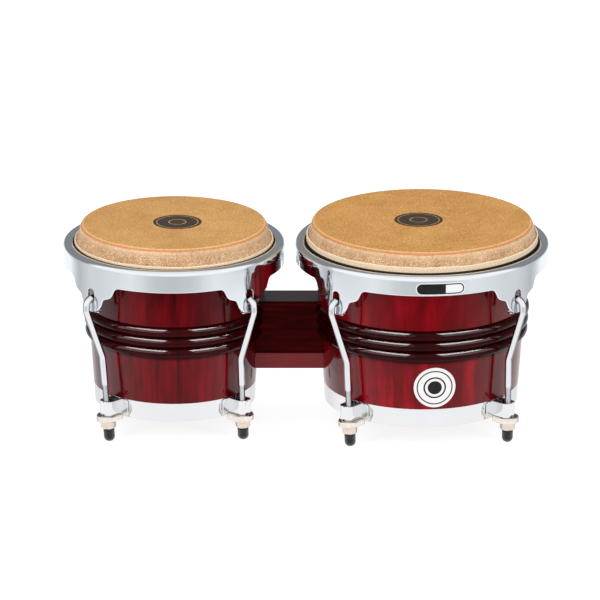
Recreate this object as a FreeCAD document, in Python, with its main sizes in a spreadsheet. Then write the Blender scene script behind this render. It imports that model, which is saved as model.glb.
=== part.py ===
import FreeCAD, Part
import math
import os
import Sketcher
from FreeCAD import Placement, Rotation, Vector

# Pair of bongo drums: two tapered wooden shells joined by a wooden block, each with a
# hide head stretched over its bearing edge by a skirted steel rim, four J-hook rods,
# four nuts on tapered washer plates and four rubber-tipped rod ends it stands on.
# Frame: +Z up, z = 0 where the rubber tips rest, x = 0 at the middle of the overall
# width, y = 0 in the plane of both axes, +X towards the large drum, -Y towards the
# side with the badge. Millimetres and degrees.

# alias, value, note
COMMON_SIZES = (
    ("axis_half", 113.73, "half the distance between the drum axes"),
    ("middle_x", -7.4, "x of the point midway between the drum axes"),
    ("shell_bottom", 22.5, "height of the shell's lower edge"),
    ("band_height", 17.2, "bottom band"),
    ("band_thick", 1.5, "bottom band's sheet"),
    ("glue_gap", 0.02, "glue line between fixed pieces"),
    ("edge_round", 4.5, "outer rounding of the bearing edge"),
    ("wall", 8.5, "stave thickness"),
    ("skin_thick", 1.5, "hide over the bearing edge"),
    ("ring_pitch", 10.05, "spacing of the rings round the shell"),
    ("ring_tall", 9.95, "height of one ring"),
    ("ring_proud", 4.2, "how far a ring stands out"),
    ("rim_thick", 2.4, "rim's sheet"),
    ("rim_crest", 174.0, "height of the rim's top"),
    ("rim_round", 4.6, "outer rounding of the rim's top"),
    ("rim_lip_drop", 1.4, "drop from the rim's top to its inner lip"),
    ("tab_step", 12.0, "drop from the skirt's edge to the middle of the tab's shoulder"),
    ("tab_drop", 27.1, "drop from the skirt's edge to the tab's end"),
    ("tab_wide", 32.0, "half width where the tab leaves the skirt"),
    ("tab_mid_a", 20.9, "half width above the shoulder"),
    ("tab_mid_b", 16.9, "half width below the shoulder"),
    ("tab_round", 13.8, "radius of the tab's round end"),
    ("slot_half", 4.1, "half width of the tab's slot"),
    ("slot_low", 18.3, "drop from the skirt's edge to the slot's lower end"),
    ("slot_high", 5.2, "drop from the skirt's edge to the slot's upper end"),
    ("hoop_wire", 3.5, "radius of the flesh hoop's wire"),
    ("hoop_height", 166.95, "height of the flesh hoop"),
    ("rod_r", 3.2, "rod's radius above the thread"),
    ("thread_r", 2.95, "radius of the rod's threaded end"),
    ("thread_top", 54.5, "rise from the tip's foot to the thread's end"),
    ("bend_low", 80.5, "height of the rod's lower bend"),
    ("bend_high", 25.6, "drop from the skirt's edge to the rod's upper bend"),
    ("arch_drop", 21.3, "drop from the skirt's edge to the centre of the hook's arch"),
    ("arch_r", 6.9, "radius of the hook's arch"),
    ("hook_end", 29.6, "drop from the skirt's edge to the hook's end"),
    ("bend_low_r", 14.0, "radius of the lower bend"),
    ("bend_high_r", 9.0, "radius of the upper bend"),
    ("rod_start", 4.5, "rod's lower end above the tip's foot"),
    ("nut_flats", 12.5, "nut across flats"),
    ("nut_low", 12.9, "nut's lower face above the tip's foot"),
    ("nut_tall", 7.4, "nut's height"),
    ("thread_gap", 0.06, "running clearance between thread and nut"),
    ("tip_r", 5.1, "rubber tip's radius"),
    ("tip_top", 11.6, "rubber tip's length"),
    ("plate_top", 25.6, "height of the washer plate's top"),
    ("plate_half", 10.2, "half width of the washer plate"),
    ("plate_in", 11.6, "washer plate's reach inwards from the rod"),
    ("strap_low", 25.7, "height of the bracket's lower edge"),
    ("strap_tall", 13.8, "bracket's height"),
    ("strap_thick", 1.8, "bracket's sheet"),
    ("strap_half", 5.2, "inside half width of the bracket"),
    ("strap_foot", 13.6, "half width over the bracket's feet"),
    ("strap_clear", 0.7, "clearance between rod and bracket"),
    ("block_low", 54.2, "height of the joining block's lower face"),
    ("block_tall", 64.7, "joining block's height"),
    ("block_half", 17.8, "half of the joining block's width"),
    ("block_edge", 1.6, "rounding of the block's long edges"),
    ("bolt_low", 70.0, "height of the lower bolt"),
    ("bolt_high", 103.0, "height of the upper bolt"),
    ("bolt_r", 3.0, "bolt's radius"),
    ("bolt_head", 4.0, "bolt head's height"),
    ("bolt_reach", 24.0, "bolt's reach into the block"),
    ("plate_sheet", 2.5, "backing plate's sheet"),
    ("insert_r", 4.45, "radius of the block's inserts"),
    ("insert_long", 14.0, "length of the block's inserts"),
    ("badge_r", 19.3, "badge's radius"),
    ("badge_height", 60.9, "height of the badge's centre"),
    ("badge_turn", 6.5, "badge's angle from -Y"),
    ("badge_thick", 0.35, "thickness of badge and label"),
    ("label_height", 162.6, "height of the label's centre"),
    ("label_half", 5.6, "half height of the label"),
    ("label_long", 22.5, "half length of the label"),
    ("label_turn", 7.05, "label's angle from -Y"),
)

# alias after "small_" or "large_", small drum, large drum, note
DRUM_SIZES = (
    ("foot", 74.2, 89.2, "outside radius of the band's foot"),
    ("low", 75.1, 90.2, "outside radius of the shell just above the band"),
    ("top", 83.8, 100.0, "outside radius at the bearing edge"),
    ("edge_top", 188.5, 190.6, "bearing edge height"),
    ("skirt_edge", 153.6, 155.7, "height of the skirt's edge between tabs"),
    ("ring_mid", 99.3, 100.8, "height of the middle ring"),
    ("rim", 101.9, 116.7, "rim's outer radius"),
    ("lip", 92.7, 107.6, "rim's inner radius"),
    ("tip_x", 86.2, 101.79, "rod's foot, outwards from the drum's axis"),
    ("tip_y", 5.88, 4.8, "rod's foot, sideways"),
    ("bend_x", 89.2, 104.0, "rod's lower bend, outwards"),
    ("bend_y", 0.47, 2.36, "rod's lower bend, sideways"),
    ("tab_turn", -1.45, 2.0, "tabs, rods and washer plates, beyond 45 degrees"),
    ("strap_turn", 1.6, 3.4, "brackets, beyond 45 degrees"),
    ("axis_side", -1.0, 1.0, "which side of x = 0 the drum stands on"),
)

DRUMS = ("small", "large")
BLOCK_SIDE = {"small": 1, "large": -1}  # x direction from a drum's axis to the block
BOLTS = ("bolt_low", "bolt_high")
LUGS = 4
ARC_SLACK = 0.001  # keeps an arc's radius just above half its chord

doc = FreeCAD.newDocument("bongo_drums")
sheet = doc.addObject("Spreadsheet::Sheet", "sizes")
value = {}
kept = []


def fill_sheet():
    rows = list(COMMON_SIZES)
    for name, small, large, note in DRUM_SIZES:
        rows += [("small_" + name, small, note), ("large_" + name, large, note)]
    for row, (alias, number, note) in enumerate(rows, 1):
        sheet.set("A%d" % row, "%.6g" % number)
        sheet.setAlias("A%d" % row, alias)
        sheet.set("B%d" % row, note)
        value[alias] = number
    doc.recompute()


class Size:
    """A length together with the sheet expression that gives it."""

    def __init__(self, number, formula):
        self.value, self.formula = float(number), formula

    def __add__(self, other):
        other = size(other)
        return Size(self.value + other.value, "(%s + %s)" % (self.formula, other.formula))

    def __sub__(self, other):
        other = size(other)
        return Size(self.value - other.value, "(%s - %s)" % (self.formula, other.formula))

    def __mul__(self, other):
        other = size(other)
        return Size(self.value * other.value, "(%s * %s)" % (self.formula, other.formula))

    def __truediv__(self, other):
        other = size(other)
        return Size(self.value / other.value, "(%s / %s)" % (self.formula, other.formula))

    def __neg__(self):
        return Size(-self.value, "(0 - %s)" % self.formula)

    __radd__ = __add__

    def __rsub__(self, other):
        return size(other) - self


def size(number):
    return number if isinstance(number, Size) else Size(number, "%.6g" % number)


def dim(alias):
    return Size(value[alias], "sizes." + alias)


def root(square):
    return Size(math.sqrt(square.value), "sqrt(%s)" % square.formula)


def bind(obj, prop, length):
    obj.setExpression(prop, size(length).formula)


def keep(obj, label):
    obj.Label = label
    kept.append(obj)


# Sketches

def origin(body, role):
    return next(f for f in body.Origin.OriginFeatures if f.Role == role)


def dimension(sk, kind, where, length):
    """Adds a driving dimension and binds it if it comes from the sheet."""
    index = sk.addConstraint(Sketcher.Constraint(kind, *where, length.value))
    if "sizes." in length.formula:
        sk.setExpression("Constraints[%d]" % index, length.formula)


def arc_between(start, end, radius, side):
    half = (end - start).Length / 2
    along = (end - start).normalize()
    outward = Vector(along.y, -along.x, 0) * side
    centre = (start + end) * 0.5 - outward * math.sqrt(max(radius ** 2 - half ** 2, 0))
    first, last = (start, end) if side > 0 else (end, start)
    angle_1 = math.atan2(first.y - centre.y, first.x - centre.x)
    angle_2 = math.atan2(last.y - centre.y, last.x - centre.x)
    if angle_2 <= angle_1:
        angle_2 += 2 * math.pi
    return Part.ArcOfCircle(Part.Circle(centre, Vector(0, 0, 1), radius), angle_1, angle_2)


def outline(sk, corners):
    """A closed outline. corners holds (x, y) or (x, y, radius, side): with a radius, the edge
    that leaves that corner is an arc; side +1 bulges to its right, -1 to its left."""
    points = [(size(corner[0]), size(corner[1])) for corner in corners]
    places = [Vector(x.value, y.value, 0) for x, y in points]
    edges = []  # geometry index, start vertex, end vertex, arc radius or None
    for i, corner in enumerate(corners):
        start, end = places[i], places[(i + 1) % len(corners)]
        if len(corner) > 2:
            radius, side = size(corner[2]), corner[3]
            index = sk.addGeometry(arc_between(start, end, radius.value, side), False)
            edges.append((index, 1, 2, radius) if side > 0 else (index, 2, 1, radius))
        else:
            edges.append((sk.addGeometry(Part.LineSegment(start, end), False), 1, 2, None))
    for edge, following in zip(edges, edges[1:] + edges[:1]):
        sk.addConstraint(Sketcher.Constraint(
            "Coincident", edge[0], edge[2], following[0], following[1]))
    for (index, vertex, _, radius), (x, y) in zip(edges, points):
        for kind, axis, length in (("DistanceX", -2, x), ("DistanceY", -1, y)):
            if abs(length.value) < 1e-9:
                sk.addConstraint(Sketcher.Constraint("PointOnObject", index, vertex, axis))
            else:
                dimension(sk, kind, (-1, 1, index, vertex), length)
        if radius is not None:
            dimension(sk, "Radius", (index,), radius)


def circle(sk, radius, height=None):
    """A circle on the sketch's vertical axis, at its origin unless a height is given."""
    radius = size(radius)
    centre = Vector(0, height.value if height else 0, 0)
    index = sk.addGeometry(Part.Circle(centre, Vector(0, 0, 1), radius.value), False)
    if height:
        sk.addConstraint(Sketcher.Constraint("PointOnObject", index, 3, -2))
        dimension(sk, "DistanceY", (-1, 1, index, 3), height)
    else:
        sk.addConstraint(Sketcher.Constraint("Coincident", index, 3, -1, 1))
    dimension(sk, "Radius", (index,), radius)


def blank_sketch(body, name, role):
    sk = body.newObject("Sketcher::SketchObject", name)
    sk.AttachmentSupport = [(origin(body, role), "")]
    sk.MapMode = "FlatFace"
    return sk


def sketch(body, name, role, corners):
    sk = blank_sketch(body, name, role)
    outline(sk, corners)
    return sk


# Body features

def new_body(name):
    body = doc.addObject("PartDesign::Body", name)
    body.AllowCompound = True
    return body


def turned(body, name, profile, kind="Revolution", angle=360):
    feature = body.newObject("PartDesign::" + kind, name)
    feature.Profile = (profile, [""])
    feature.ReferenceAxis = (profile, ["V_Axis"])
    feature.Angle = angle
    body.Tip = feature
    return feature


def pad(body, name, profile, length):
    feature = body.newObject("PartDesign::Pad", name)
    feature.Profile = profile
    bind(feature, "Length", length)
    body.Tip = feature
    return feature


def pocket(body, name, profile):
    feature = body.newObject("PartDesign::Pocket", name)
    feature.Profile = profile
    body.Tip = feature
    return feature


def pocket_through(body, name, profile, towards_plus):
    """A pocket through everything on one side of its sketch."""
    feature = pocket(body, name, profile)
    feature.Type = 1
    feature.Reversed = towards_plus
    return feature


def pocket_both_ways(body, name, profile, length):
    feature = pocket(body, name, profile)
    feature.Length = length
    feature.Midplane = True
    return feature


def lug_set(body, name, originals):
    feature = body.newObject("PartDesign::PolarPattern", name)
    feature.Originals = originals
    feature.Axis = (origin(body, "Z_Axis"), [""])
    feature.Angle = 360
    feature.Occurrences = LUGS
    body.Tip = feature


# Free-standing solids

def cut(name, base, tool):
    result = doc.addObject("Part::Cut", name)
    result.Base, result.Tool = base, tool
    return result


def compound(name, links):
    result = doc.addObject("Part::Compound", name)
    result.Links = links
    return result


def cylinder(name, radius, height, z):
    result = doc.addObject("Part::Cylinder", name)
    bind(result, "Radius", radius)
    bind(result, "Height", height)
    bind(result, "Placement.Base.z", z)
    return result


def cone(name, radius_low, radius_high, height, z):
    result = doc.addObject("Part::Cone", name)
    bind(result, "Radius1", radius_low)
    bind(result, "Radius2", radius_high)
    bind(result, "Height", height)
    bind(result, "Placement.Base.z", z)
    return result


def prism(name, corners, yaw, start, length):
    """An outline drawn facing outwards at a yaw about Z (its x runs along +Y at yaw 0, its y
    along +Z), pushed outwards from radius start by length."""
    sk = doc.addObject("Sketcher::SketchObject", name + "_outline")
    outline(sk, corners)
    face = Rotation(Vector(0, 1, 0), Vector(0, 0, 1), Vector(1, 0, 0), "XYZ")
    turn = Rotation(Vector(0, 0, 1), yaw)
    sk.Placement = Placement(turn.multVec(Vector(start.value, 0, 0)), turn.multiply(face))
    result = doc.addObject("Part::Extrusion", name)
    result.Base = sk
    result.DirMode = "Normal"
    result.Solid = True
    bind(result, "LengthFwd", length)
    return result


# Places on a drum

def drum_x(drum):
    return dim(drum + "_axis_side") * dim("axis_half") + dim("middle_x")


def stand(obj, drum, turn=None):
    """Stands the piece on its drum's axis, turned about it."""
    bind(obj, "Placement.Base.x", drum_x(drum))
    if turn is not None:
        # any angle but zero, so that the rotation's axis is Z
        obj.Placement = Placement(Vector(0, 0, 0), Rotation(Vector(0, 0, 1), 0.1))
        bind(obj, "Placement.Rotation.Angle", turn)


def block_turn(drum):
    """Turn that brings a piece's +X side round to the joining block."""
    return 0 if BLOCK_SIDE[drum] > 0 else 180


def band_top():
    return dim("shell_bottom") + dim("band_height")


def cone_r(drum, z):
    """Outside radius of the shell's cone at a height."""
    low, top = dim(drum + "_low"), dim(drum + "_top")
    slope = (top - low) / (dim(drum + "_edge_top") - dim("edge_round") - band_top())
    return low + slope * (z - band_top())


def rebate_r(drum):
    return dim(drum + "_foot") - dim("band_thick") - dim("glue_gap")


BORE_FLARE = 0.6  # extra radius of the shell's bore at its lower edge
EDGE_INSIDE = 4  # drop from the bearing edge to the top of the bore


def bore_low_r(drum):
    return rebate_r(drum) - dim("wall") + BORE_FLARE


def inner_r(drum, z):
    """Inside radius of the shell at a height."""
    low = bore_low_r(drum)
    rise = dim(drum + "_edge_top") - EDGE_INSIDE - dim("shell_bottom")
    slope = (dim(drum + "_top") - dim("wall") - low) / rise
    return low + slope * (z - dim("shell_bottom"))


def plate_inside_r(drum, z):
    """Inside radius of the backing plate at a height."""
    return inner_r(drum, z) - dim("glue_gap") - dim("plate_sheet")


# Pieces of one drum

def make_shell(drum):
    """Tapered wooden tube, rebated for the band, with a rounded bearing edge."""
    bottom, edge_top = dim("shell_bottom"), dim(drum + "_edge_top")
    rounding, top, gap = dim("edge_round"), dim(drum + "_top"), dim("glue_gap")
    edge_flat = 1.2
    bolt_clear = 0.3
    body = new_body(drum + "_shell")
    profile = sketch(body, drum + "_shell_outline", "XZ_Plane", [
        (rebate_r(drum), bottom),
        (rebate_r(drum), band_top() + gap),
        (dim(drum + "_low"), band_top() + gap),
        (top, edge_top - rounding, rounding, 1),
        (top - rounding, edge_top),
        (top - rounding - edge_flat, edge_top),
        (top - dim("wall"), edge_top - EDGE_INSIDE),
        (bore_low_r(drum), bottom),
    ])
    turned(body, drum + "_shell_turned", profile)
    holes = blank_sketch(body, drum + "_bolt_holes", "YZ_Plane")
    for alias in BOLTS:
        circle(holes, dim("bolt_r") + bolt_clear, dim(alias))
    pocket_through(body, drum + "_bolt_bores", holes, BLOCK_SIDE[drum] > 0)
    stand(body, drum)
    keep(body, drum + "_shell")


def make_ring(drum, level, step):
    """Half-round ring on the shell, open where the joining block passes."""
    name = "%s_ring_%s" % (drum, level)
    half, proud, gap = dim("ring_tall") / 2, dim("ring_proud"), dim("glue_gap")
    middle = dim(drum + "_ring_mid") + dim("ring_pitch") * step
    low, high = middle - half, middle + half
    bulge_r = (half * half + proud * proud) / (proud * 2)
    gate_half = dim("block_half") + 0.05
    gate_over = 2
    body = new_body(name)
    profile = sketch(body, name + "_outline", "XZ_Plane", [
        (cone_r(drum, low) + gap, low, bulge_r + 0.01, 1),
        (cone_r(drum, high) + gap, high),
    ])
    turned(body, name + "_turned", profile)
    gate = sketch(body, name + "_gate", "YZ_Plane", [
        (-gate_half, low - gate_over),
        (gate_half, low - gate_over),
        (gate_half, high + gate_over),
        (-gate_half, high + gate_over),
    ])
    pocket_through(body, name + "_gap", gate, BLOCK_SIDE[drum] > 0)
    stand(body, drum)
    keep(body, name)


def make_bottom_band(drum):
    """Steel band in the rebate, flush with the shell above it."""
    foot, low, bottom = dim(drum + "_foot"), dim(drum + "_low"), dim("shell_bottom")
    inside = foot - dim("band_thick")
    ease = 0.3
    body = new_body(drum + "_bottom_band")
    profile = sketch(body, drum + "_band_outline", "XZ_Plane", [
        (inside, bottom - ease),
        (foot - ease, bottom - ease),
        (foot, bottom),
        (low - 0.15, band_top() - ease),
        (low - 0.45, band_top()),
        (inside, band_top()),
    ])
    turned(body, drum + "_band_turned", profile)
    stand(body, drum)
    keep(body, drum + "_bottom_band")


def make_head_skin(drum):
    """Hide cap over the bearing edge, flaring outwards at its lower end."""
    top, edge_top = dim(drum + "_top"), dim(drum + "_edge_top")
    rounding, gap, skin = dim("edge_round"), dim("glue_gap"), dim("skin_thick")
    inside = top + 0.25
    hem = edge_top - 13.4
    body = new_body(drum + "_head_skin")
    profile = sketch(body, drum + "_head_outline", "XZ_Plane", [
        (0, edge_top + gap),
        (top - rounding, edge_top + gap),
        (top - rounding + 0.01, edge_top + gap + 0.01, rounding + 0.2, -1),
        (inside, edge_top - rounding - 0.1),
        (inside, hem),
        (top + 4.6, hem),
        (top + 2.9, edge_top - 5.2),
        (top + 1.7, edge_top - 2.6, 4.4, -1),
        (top - 2.4, edge_top + skin),
        (0, edge_top + skin),
    ])
    turned(body, drum + "_head_turned", profile)
    stand(body, drum)
    keep(body, drum + "_head_skin")


def make_flesh_hoop(drum):
    """Wire hoop the hide is wrapped round, under the rim's inner lip."""
    hoop = doc.addObject("Part::Torus", drum + "_flesh_hoop")
    bind(hoop, "Radius1", dim(drum + "_lip") + 2.2)
    bind(hoop, "Radius2", dim("hoop_wire"))
    bind(hoop, "Placement.Base.z", dim("hoop_height"))
    stand(hoop, drum)
    keep(hoop, drum + "_flesh_hoop")


def rim_form(drum):
    """The rim before its skirt is cut back: as deep as the tabs all round."""
    outer, lip, thick = dim(drum + "_rim"), dim(drum + "_lip"), dim("rim_thick")
    crest, rounding = dim("rim_crest"), dim("rim_round")
    lip_top = crest - dim("rim_lip_drop")
    hem = dim(drum + "_skirt_edge") - dim("tab_drop")
    body = new_body(drum + "_rim_form")
    profile = sketch(body, drum + "_rim_outline", "XZ_Plane", [
        (outer, hem),
        (outer, crest - rounding, rounding + ARC_SLACK, 1),
        (outer - rounding, crest),
        (lip + 0.6, lip_top + 0.25),
        (lip, lip_top - 0.5),
        (lip, lip_top - thick + 0.5),
        (lip + 0.5, lip_top - thick),
        (outer - rounding, crest - thick, rounding - thick + ARC_SLACK, -1),
        (outer - thick, crest - rounding),
        (outer - thick, hem),
    ])
    turned(body, drum + "_rim_turned", profile)
    return body


def tab_corners(drum):
    """Shouldered tab with a round end, seen from outside the rim."""
    edge = dim(drum + "_skirt_edge")
    wide, above, below = dim("tab_wide"), dim("tab_mid_a"), dim("tab_mid_b")
    end_r = dim("tab_round")
    arc_r = end_r + 0.01
    skirt_r, flank_r, shoulder_r = 5.34, 7.4, 4.72
    shoulder, end = edge - dim("tab_step"), edge - dim("tab_drop")
    return [
        (-wide, edge + 4),
        (-wide, edge, skirt_r, -1),
        (-(wide - 4.8), edge - 3.0),
        (-(above + 4.1), shoulder + 4.5, flank_r, 1),
        (-above, shoulder + 0.8),
        (-below, shoulder - 0.66, shoulder_r, -1),
        (-(below - 2.8), shoulder - 3.5),
        (-(end_r - 0.7), end + 8.9, arc_r, 1),
        (0, end - 0.02, arc_r, 1),
        (end_r - 0.7, end + 8.9),
        (below - 2.8, shoulder - 3.5, shoulder_r, -1),
        (below, shoulder - 0.66),
        (above, shoulder + 0.8, flank_r, 1),
        (above + 4.1, shoulder + 4.5),
        (wide - 4.8, edge - 3.0, skirt_r, -1),
        (wide, edge),
        (wide, edge + 4),
    ]


def slot_corners(drum):
    edge, half = dim(drum + "_skirt_edge"), dim("slot_half")
    low, high = edge - dim("slot_low") + half, edge - dim("slot_high") - half
    return [
        (-half, low),
        (-half, high, half + ARC_SLACK, -1),
        (half, high),
        (half, low, half + ARC_SLACK, -1),
    ]


def make_rim(drum):
    """Rounded steel hoop with a deep skirt and four slotted tabs."""
    form = rim_form(drum)
    outer, thick, drop = dim(drum + "_rim"), dim("rim_thick"), dim("tab_drop")
    hem = dim(drum + "_skirt_edge") - drop

    def around(group, name, corners):
        return compound("%s_rim_%ss" % (drum, group), [
            prism("%s_%s_%d" % (drum, name, i), corners, 90 * i, outer - thick - 4, thick + 8)
            for i in range(LUGS)])

    tabs = around("tab", "tab", tab_corners(drum))
    slots = around("slot", "slot", slot_corners(drum))
    wide = cylinder(drum + "_skirt_wide", outer + 3, drop + 4, hem - 4)
    core = cylinder(drum + "_skirt_core", outer - thick - 3, drop + 6, hem - 5)
    waste = cut(drum + "_skirt_waste", cut(drum + "_skirt_ring", wide, core), tabs)
    rim = cut(drum + "_rim", cut(drum + "_rim_scalloped", form, waste), slots)
    stand(rim, drum, 45 + dim(drum + "_tab_turn"))
    keep(rim, drum + "_rim")


def make_lug_brackets(drum):
    """Four bent steel straps on the band, open above and below."""
    half, thick, foot = dim("strap_half"), dim("strap_thick"), dim("strap_foot")
    back_r = dim(drum + "_low") + 0.06
    front_r = back_r + thick
    bend_in = 3.0
    bend_out = bend_in + thick
    tip_x, tip_y = dim(drum + "_tip_x"), dim(drum + "_tip_y")
    thread_shift = 1.4  # outwards, beyond the tip's distance from the drum's axis
    nose = (root(tip_x * tip_x + tip_y * tip_y) + thread_shift
            + dim("thread_r") + dim("strap_clear"))
    half_out, nose_out = half + thick, nose + thick

    def on_arc(radius, across):
        return root(radius * radius - across * across)

    body = new_body(drum + "_lug_brackets")
    profile = sketch(body, drum + "_bracket_outline", "XY_Plane", [
        (on_arc(back_r, foot), foot, back_r, -1),
        (on_arc(back_r, half), half),
        (nose - bend_in, half, bend_in + ARC_SLACK, -1),
        (nose, half - bend_in),
        (nose, -(half - bend_in), bend_in + ARC_SLACK, -1),
        (nose - bend_in, -half),
        (on_arc(back_r, half), -half, back_r, -1),
        (on_arc(back_r, foot), -foot),
        (on_arc(front_r, foot), -foot, front_r, 1),
        (on_arc(front_r, half_out), -half_out),
        (nose_out - bend_out, -half_out, bend_out + ARC_SLACK, 1),
        (nose_out, -(half_out - bend_out)),
        (nose_out, half_out - bend_out, bend_out + ARC_SLACK, 1),
        (nose_out - bend_out, half_out),
        (on_arc(front_r, half_out), half_out, front_r, 1),
        (on_arc(front_r, foot), foot),
    ])
    bind(profile, "AttachmentOffset.Base.z", dim("strap_low"))
    strap = pad(body, drum + "_bracket_pad", profile, dim("strap_tall"))
    nicks = blank_sketch(body, drum + "_bracket_nicks", "YZ_Plane")
    nick_r = 0.9
    for height in (dim("strap_low"), dim("strap_low") + dim("strap_tall")):
        circle(nicks, nick_r, height)
    nick = pocket_through(body, drum + "_bracket_nick", nicks, True)
    lug_set(body, drum + "_bracket_set", [strap, nick])
    stand(body, drum, 45 + dim(drum + "_strap_turn"))
    keep(body, drum + "_lug_brackets")


def rod_axis(drum):
    """Foot and direction of the leaning axis shared by a lug's rod, nut, washer plate and tip,
    in the lug's frame: +X outwards at the tab."""
    tip_x, tip_y = value[drum + "_tip_x"], value[drum + "_tip_y"]
    lean = Vector(value[drum + "_bend_x"] - tip_x, value[drum + "_bend_y"] - tip_y,
                  value["bend_low"])
    lean.normalize()
    # lifted so that the leaning round tip touches z = 0
    return Vector(tip_x, tip_y, value["tip_r"] * (1 - lean.z)), lean


def make_washer_plates(drum):
    """Four plates under the brackets, their lower faces square to the leaning rods."""
    toe, lean = rod_axis(drum)
    along_rod = 23
    bend = 3.0
    x, y = toe.x + lean.x * along_rod, toe.y + lean.y * along_rod
    half = dim("plate_half")
    inner = x - dim("plate_in")
    seat = dim("nut_low") + dim("nut_tall") + 0.05
    low = seat - 2
    on_seat = Placement(toe + lean * seat.value, Rotation(Vector(0, 0, 1), lean))

    body = new_body(drum + "_washer_plates")
    profile = sketch(body, drum + "_plate_outline", "XY_Plane", [
        (x, y + half),
        (inner + bend, y + half, bend, -1),
        (inner, y + half - bend),
        (inner, y - half + bend, bend, -1),
        (inner + bend, y - half),
        (x, y - half, half + ARC_SLACK, 1),
    ])
    profile.AttachmentOffset = Placement(Vector(0, 0, low.value), Rotation())
    plate = pad(body, drum + "_plate_pad", profile, dim("plate_top") - low)
    slab = sketch(body, drum + "_plate_taper_outline", "XY_Plane",
                  [(-30, -30), (30, -30), (30, 30), (-30, 30)])
    slab.AttachmentOffset = on_seat
    taper = pocket(body, drum + "_plate_taper", slab)
    taper.Length = 12
    ring = blank_sketch(body, drum + "_plate_hole_outline", "XY_Plane")
    ring.AttachmentOffset = on_seat
    circle(ring, dim("thread_r") + 0.4)
    hole = pocket_both_ways(body, drum + "_plate_hole", ring, 40)
    lug_set(body, drum + "_plate_set", [plate, taper, hole])
    stand(body, drum, 45 + dim(drum + "_tab_turn"))
    keep(body, drum + "_washer_plates")


def bend_arc(before, corner, after, radius):
    """Start, middle and end of the arc that rounds a corner of the rod's centre line."""
    back = (before - corner).normalize()
    ahead = (after - corner).normalize()
    half = back.getAngle(ahead) / 2
    reach = radius / math.tan(half)
    inward = (back + ahead).normalize()
    centre = corner + inward * (radius / math.sin(half))
    return corner + back * reach, centre - inward * radius, corner + ahead * reach


def rod_shape(drum):
    """Bent tension rod in its lug's frame: a threaded lower end on the leaning axis, two bends,
    and a hook over the tab."""
    toe, lean = rod_axis(drum)
    rod_r, thread_r, arch_r = value["rod_r"], value["thread_r"], value["arch_r"]
    edge = value[drum + "_skirt_edge"]
    arch_z = edge - value["arch_drop"]
    tab_x = value[drum + "_rim"] - value["rim_thick"] / 2
    neck, overlap = 1.2, 0.2  # cone from thread to rod; thread's reach into that cone

    thread_end = toe + lean * (value["thread_top"] / lean.z)
    low_corner = Vector(value[drum + "_bend_x"], value[drum + "_bend_y"], value["bend_low"])
    high_corner = Vector(tab_x + arch_r, 0, edge - value["bend_high"])
    arch_out = Vector(tab_x + arch_r, 0, arch_z)
    arch_in = Vector(tab_x - arch_r, 0, arch_z)
    low_bend = bend_arc(thread_end, low_corner, high_corner, value["bend_low_r"])
    high_bend = bend_arc(low_corner, high_corner, arch_out, value["bend_high_r"])
    spine = Part.Wire([
        Part.LineSegment(thread_end, low_bend[0]).toShape(),
        Part.Arc(*low_bend).toShape(),
        Part.LineSegment(low_bend[2], high_bend[0]).toShape(),
        Part.Arc(*high_bend).toShape(),
        Part.LineSegment(high_bend[2], arch_out).toShape(),
        Part.Arc(arch_out, Vector(tab_x, 0, arch_z + arch_r), arch_in).toShape(),
        Part.LineSegment(arch_in, Vector(arch_in.x, 0, edge - value["hook_end"])).toShape(),
    ])
    section = Part.Wire([Part.Circle(thread_end, lean, rod_r).toShape()])
    tube = spine.makePipeShell([section], True, False)
    taper = Part.makeCone(thread_r, rod_r, neck, thread_end - lean * neck, lean)
    start = value["rod_start"]
    length = (thread_end - toe).Length - (neck - overlap) - start
    thread = Part.makeCylinder(thread_r, length, toe + lean * start, lean)
    return tube.fuse([taper, thread]).removeSplitter()


def make_nut(name, frame):
    """Hexagon nut, bevelled at both ends."""
    flats = dim("nut_flats")
    corner = 1 / math.sqrt(3)  # corner radius as a share of the width across flats
    low, high = dim("nut_low"), dim("nut_low") + dim("nut_tall")
    inside, outside = flats * 0.49, flats * 0.7
    body = new_body(name)
    hexagon = sketch(body, name + "_hexagon", "XY_Plane", [
        (flats * corner, 0),
        (flats * (corner / 2), flats / 2),
        (-flats * (corner / 2), flats / 2),
        (-flats * corner, 0),
        (-flats * (corner / 2), -flats / 2),
        (flats * (corner / 2), -flats / 2),
    ])
    bind(hexagon, "AttachmentOffset.Base.z", low)
    pad(body, name + "_pad", hexagon, dim("nut_tall"))
    bevels = (
        ("", [(inside, low - 0.5), (outside, low - 0.5),
              (outside, low + 1.45), (inside, low - 0.04)]),
        ("_top", [(inside, high + 0.04), (outside, high - 1.45),
                  (outside, high + 0.5), (inside, high + 0.5)]),
    )
    for end, corners in bevels:
        profile = sketch(body, name + "_bevels" + end, "XZ_Plane", corners)
        turned(body, name + "_bevel" + end, profile, kind="Groove")
    ring = blank_sketch(body, name + "_bore_outline", "XY_Plane")
    circle(ring, dim("thread_r") + dim("thread_gap"))
    pocket_both_ways(body, name + "_bore", ring, 80)
    body.Placement = frame
    keep(body, name)


def make_tip(name, frame):
    """Round-ended rubber tip, hollow for the rod's end."""
    radius, top, ease = dim("tip_r"), dim("tip_top"), 0.5
    core_r = dim("thread_r") + 0.01
    core_end = dim("rod_start") - 0.02
    body = new_body(name)
    profile = sketch(body, name + "_outline", "XZ_Plane", [
        (0, 0, radius + ARC_SLACK, 1),
        (radius, radius),
        (radius, top - ease),
        (radius - ease, top),
        (core_r, top),
        (core_r, core_end),
        (0, core_end),
    ])
    turned(body, name + "_turned", profile)
    body.Placement = frame
    keep(body, name)


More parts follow.
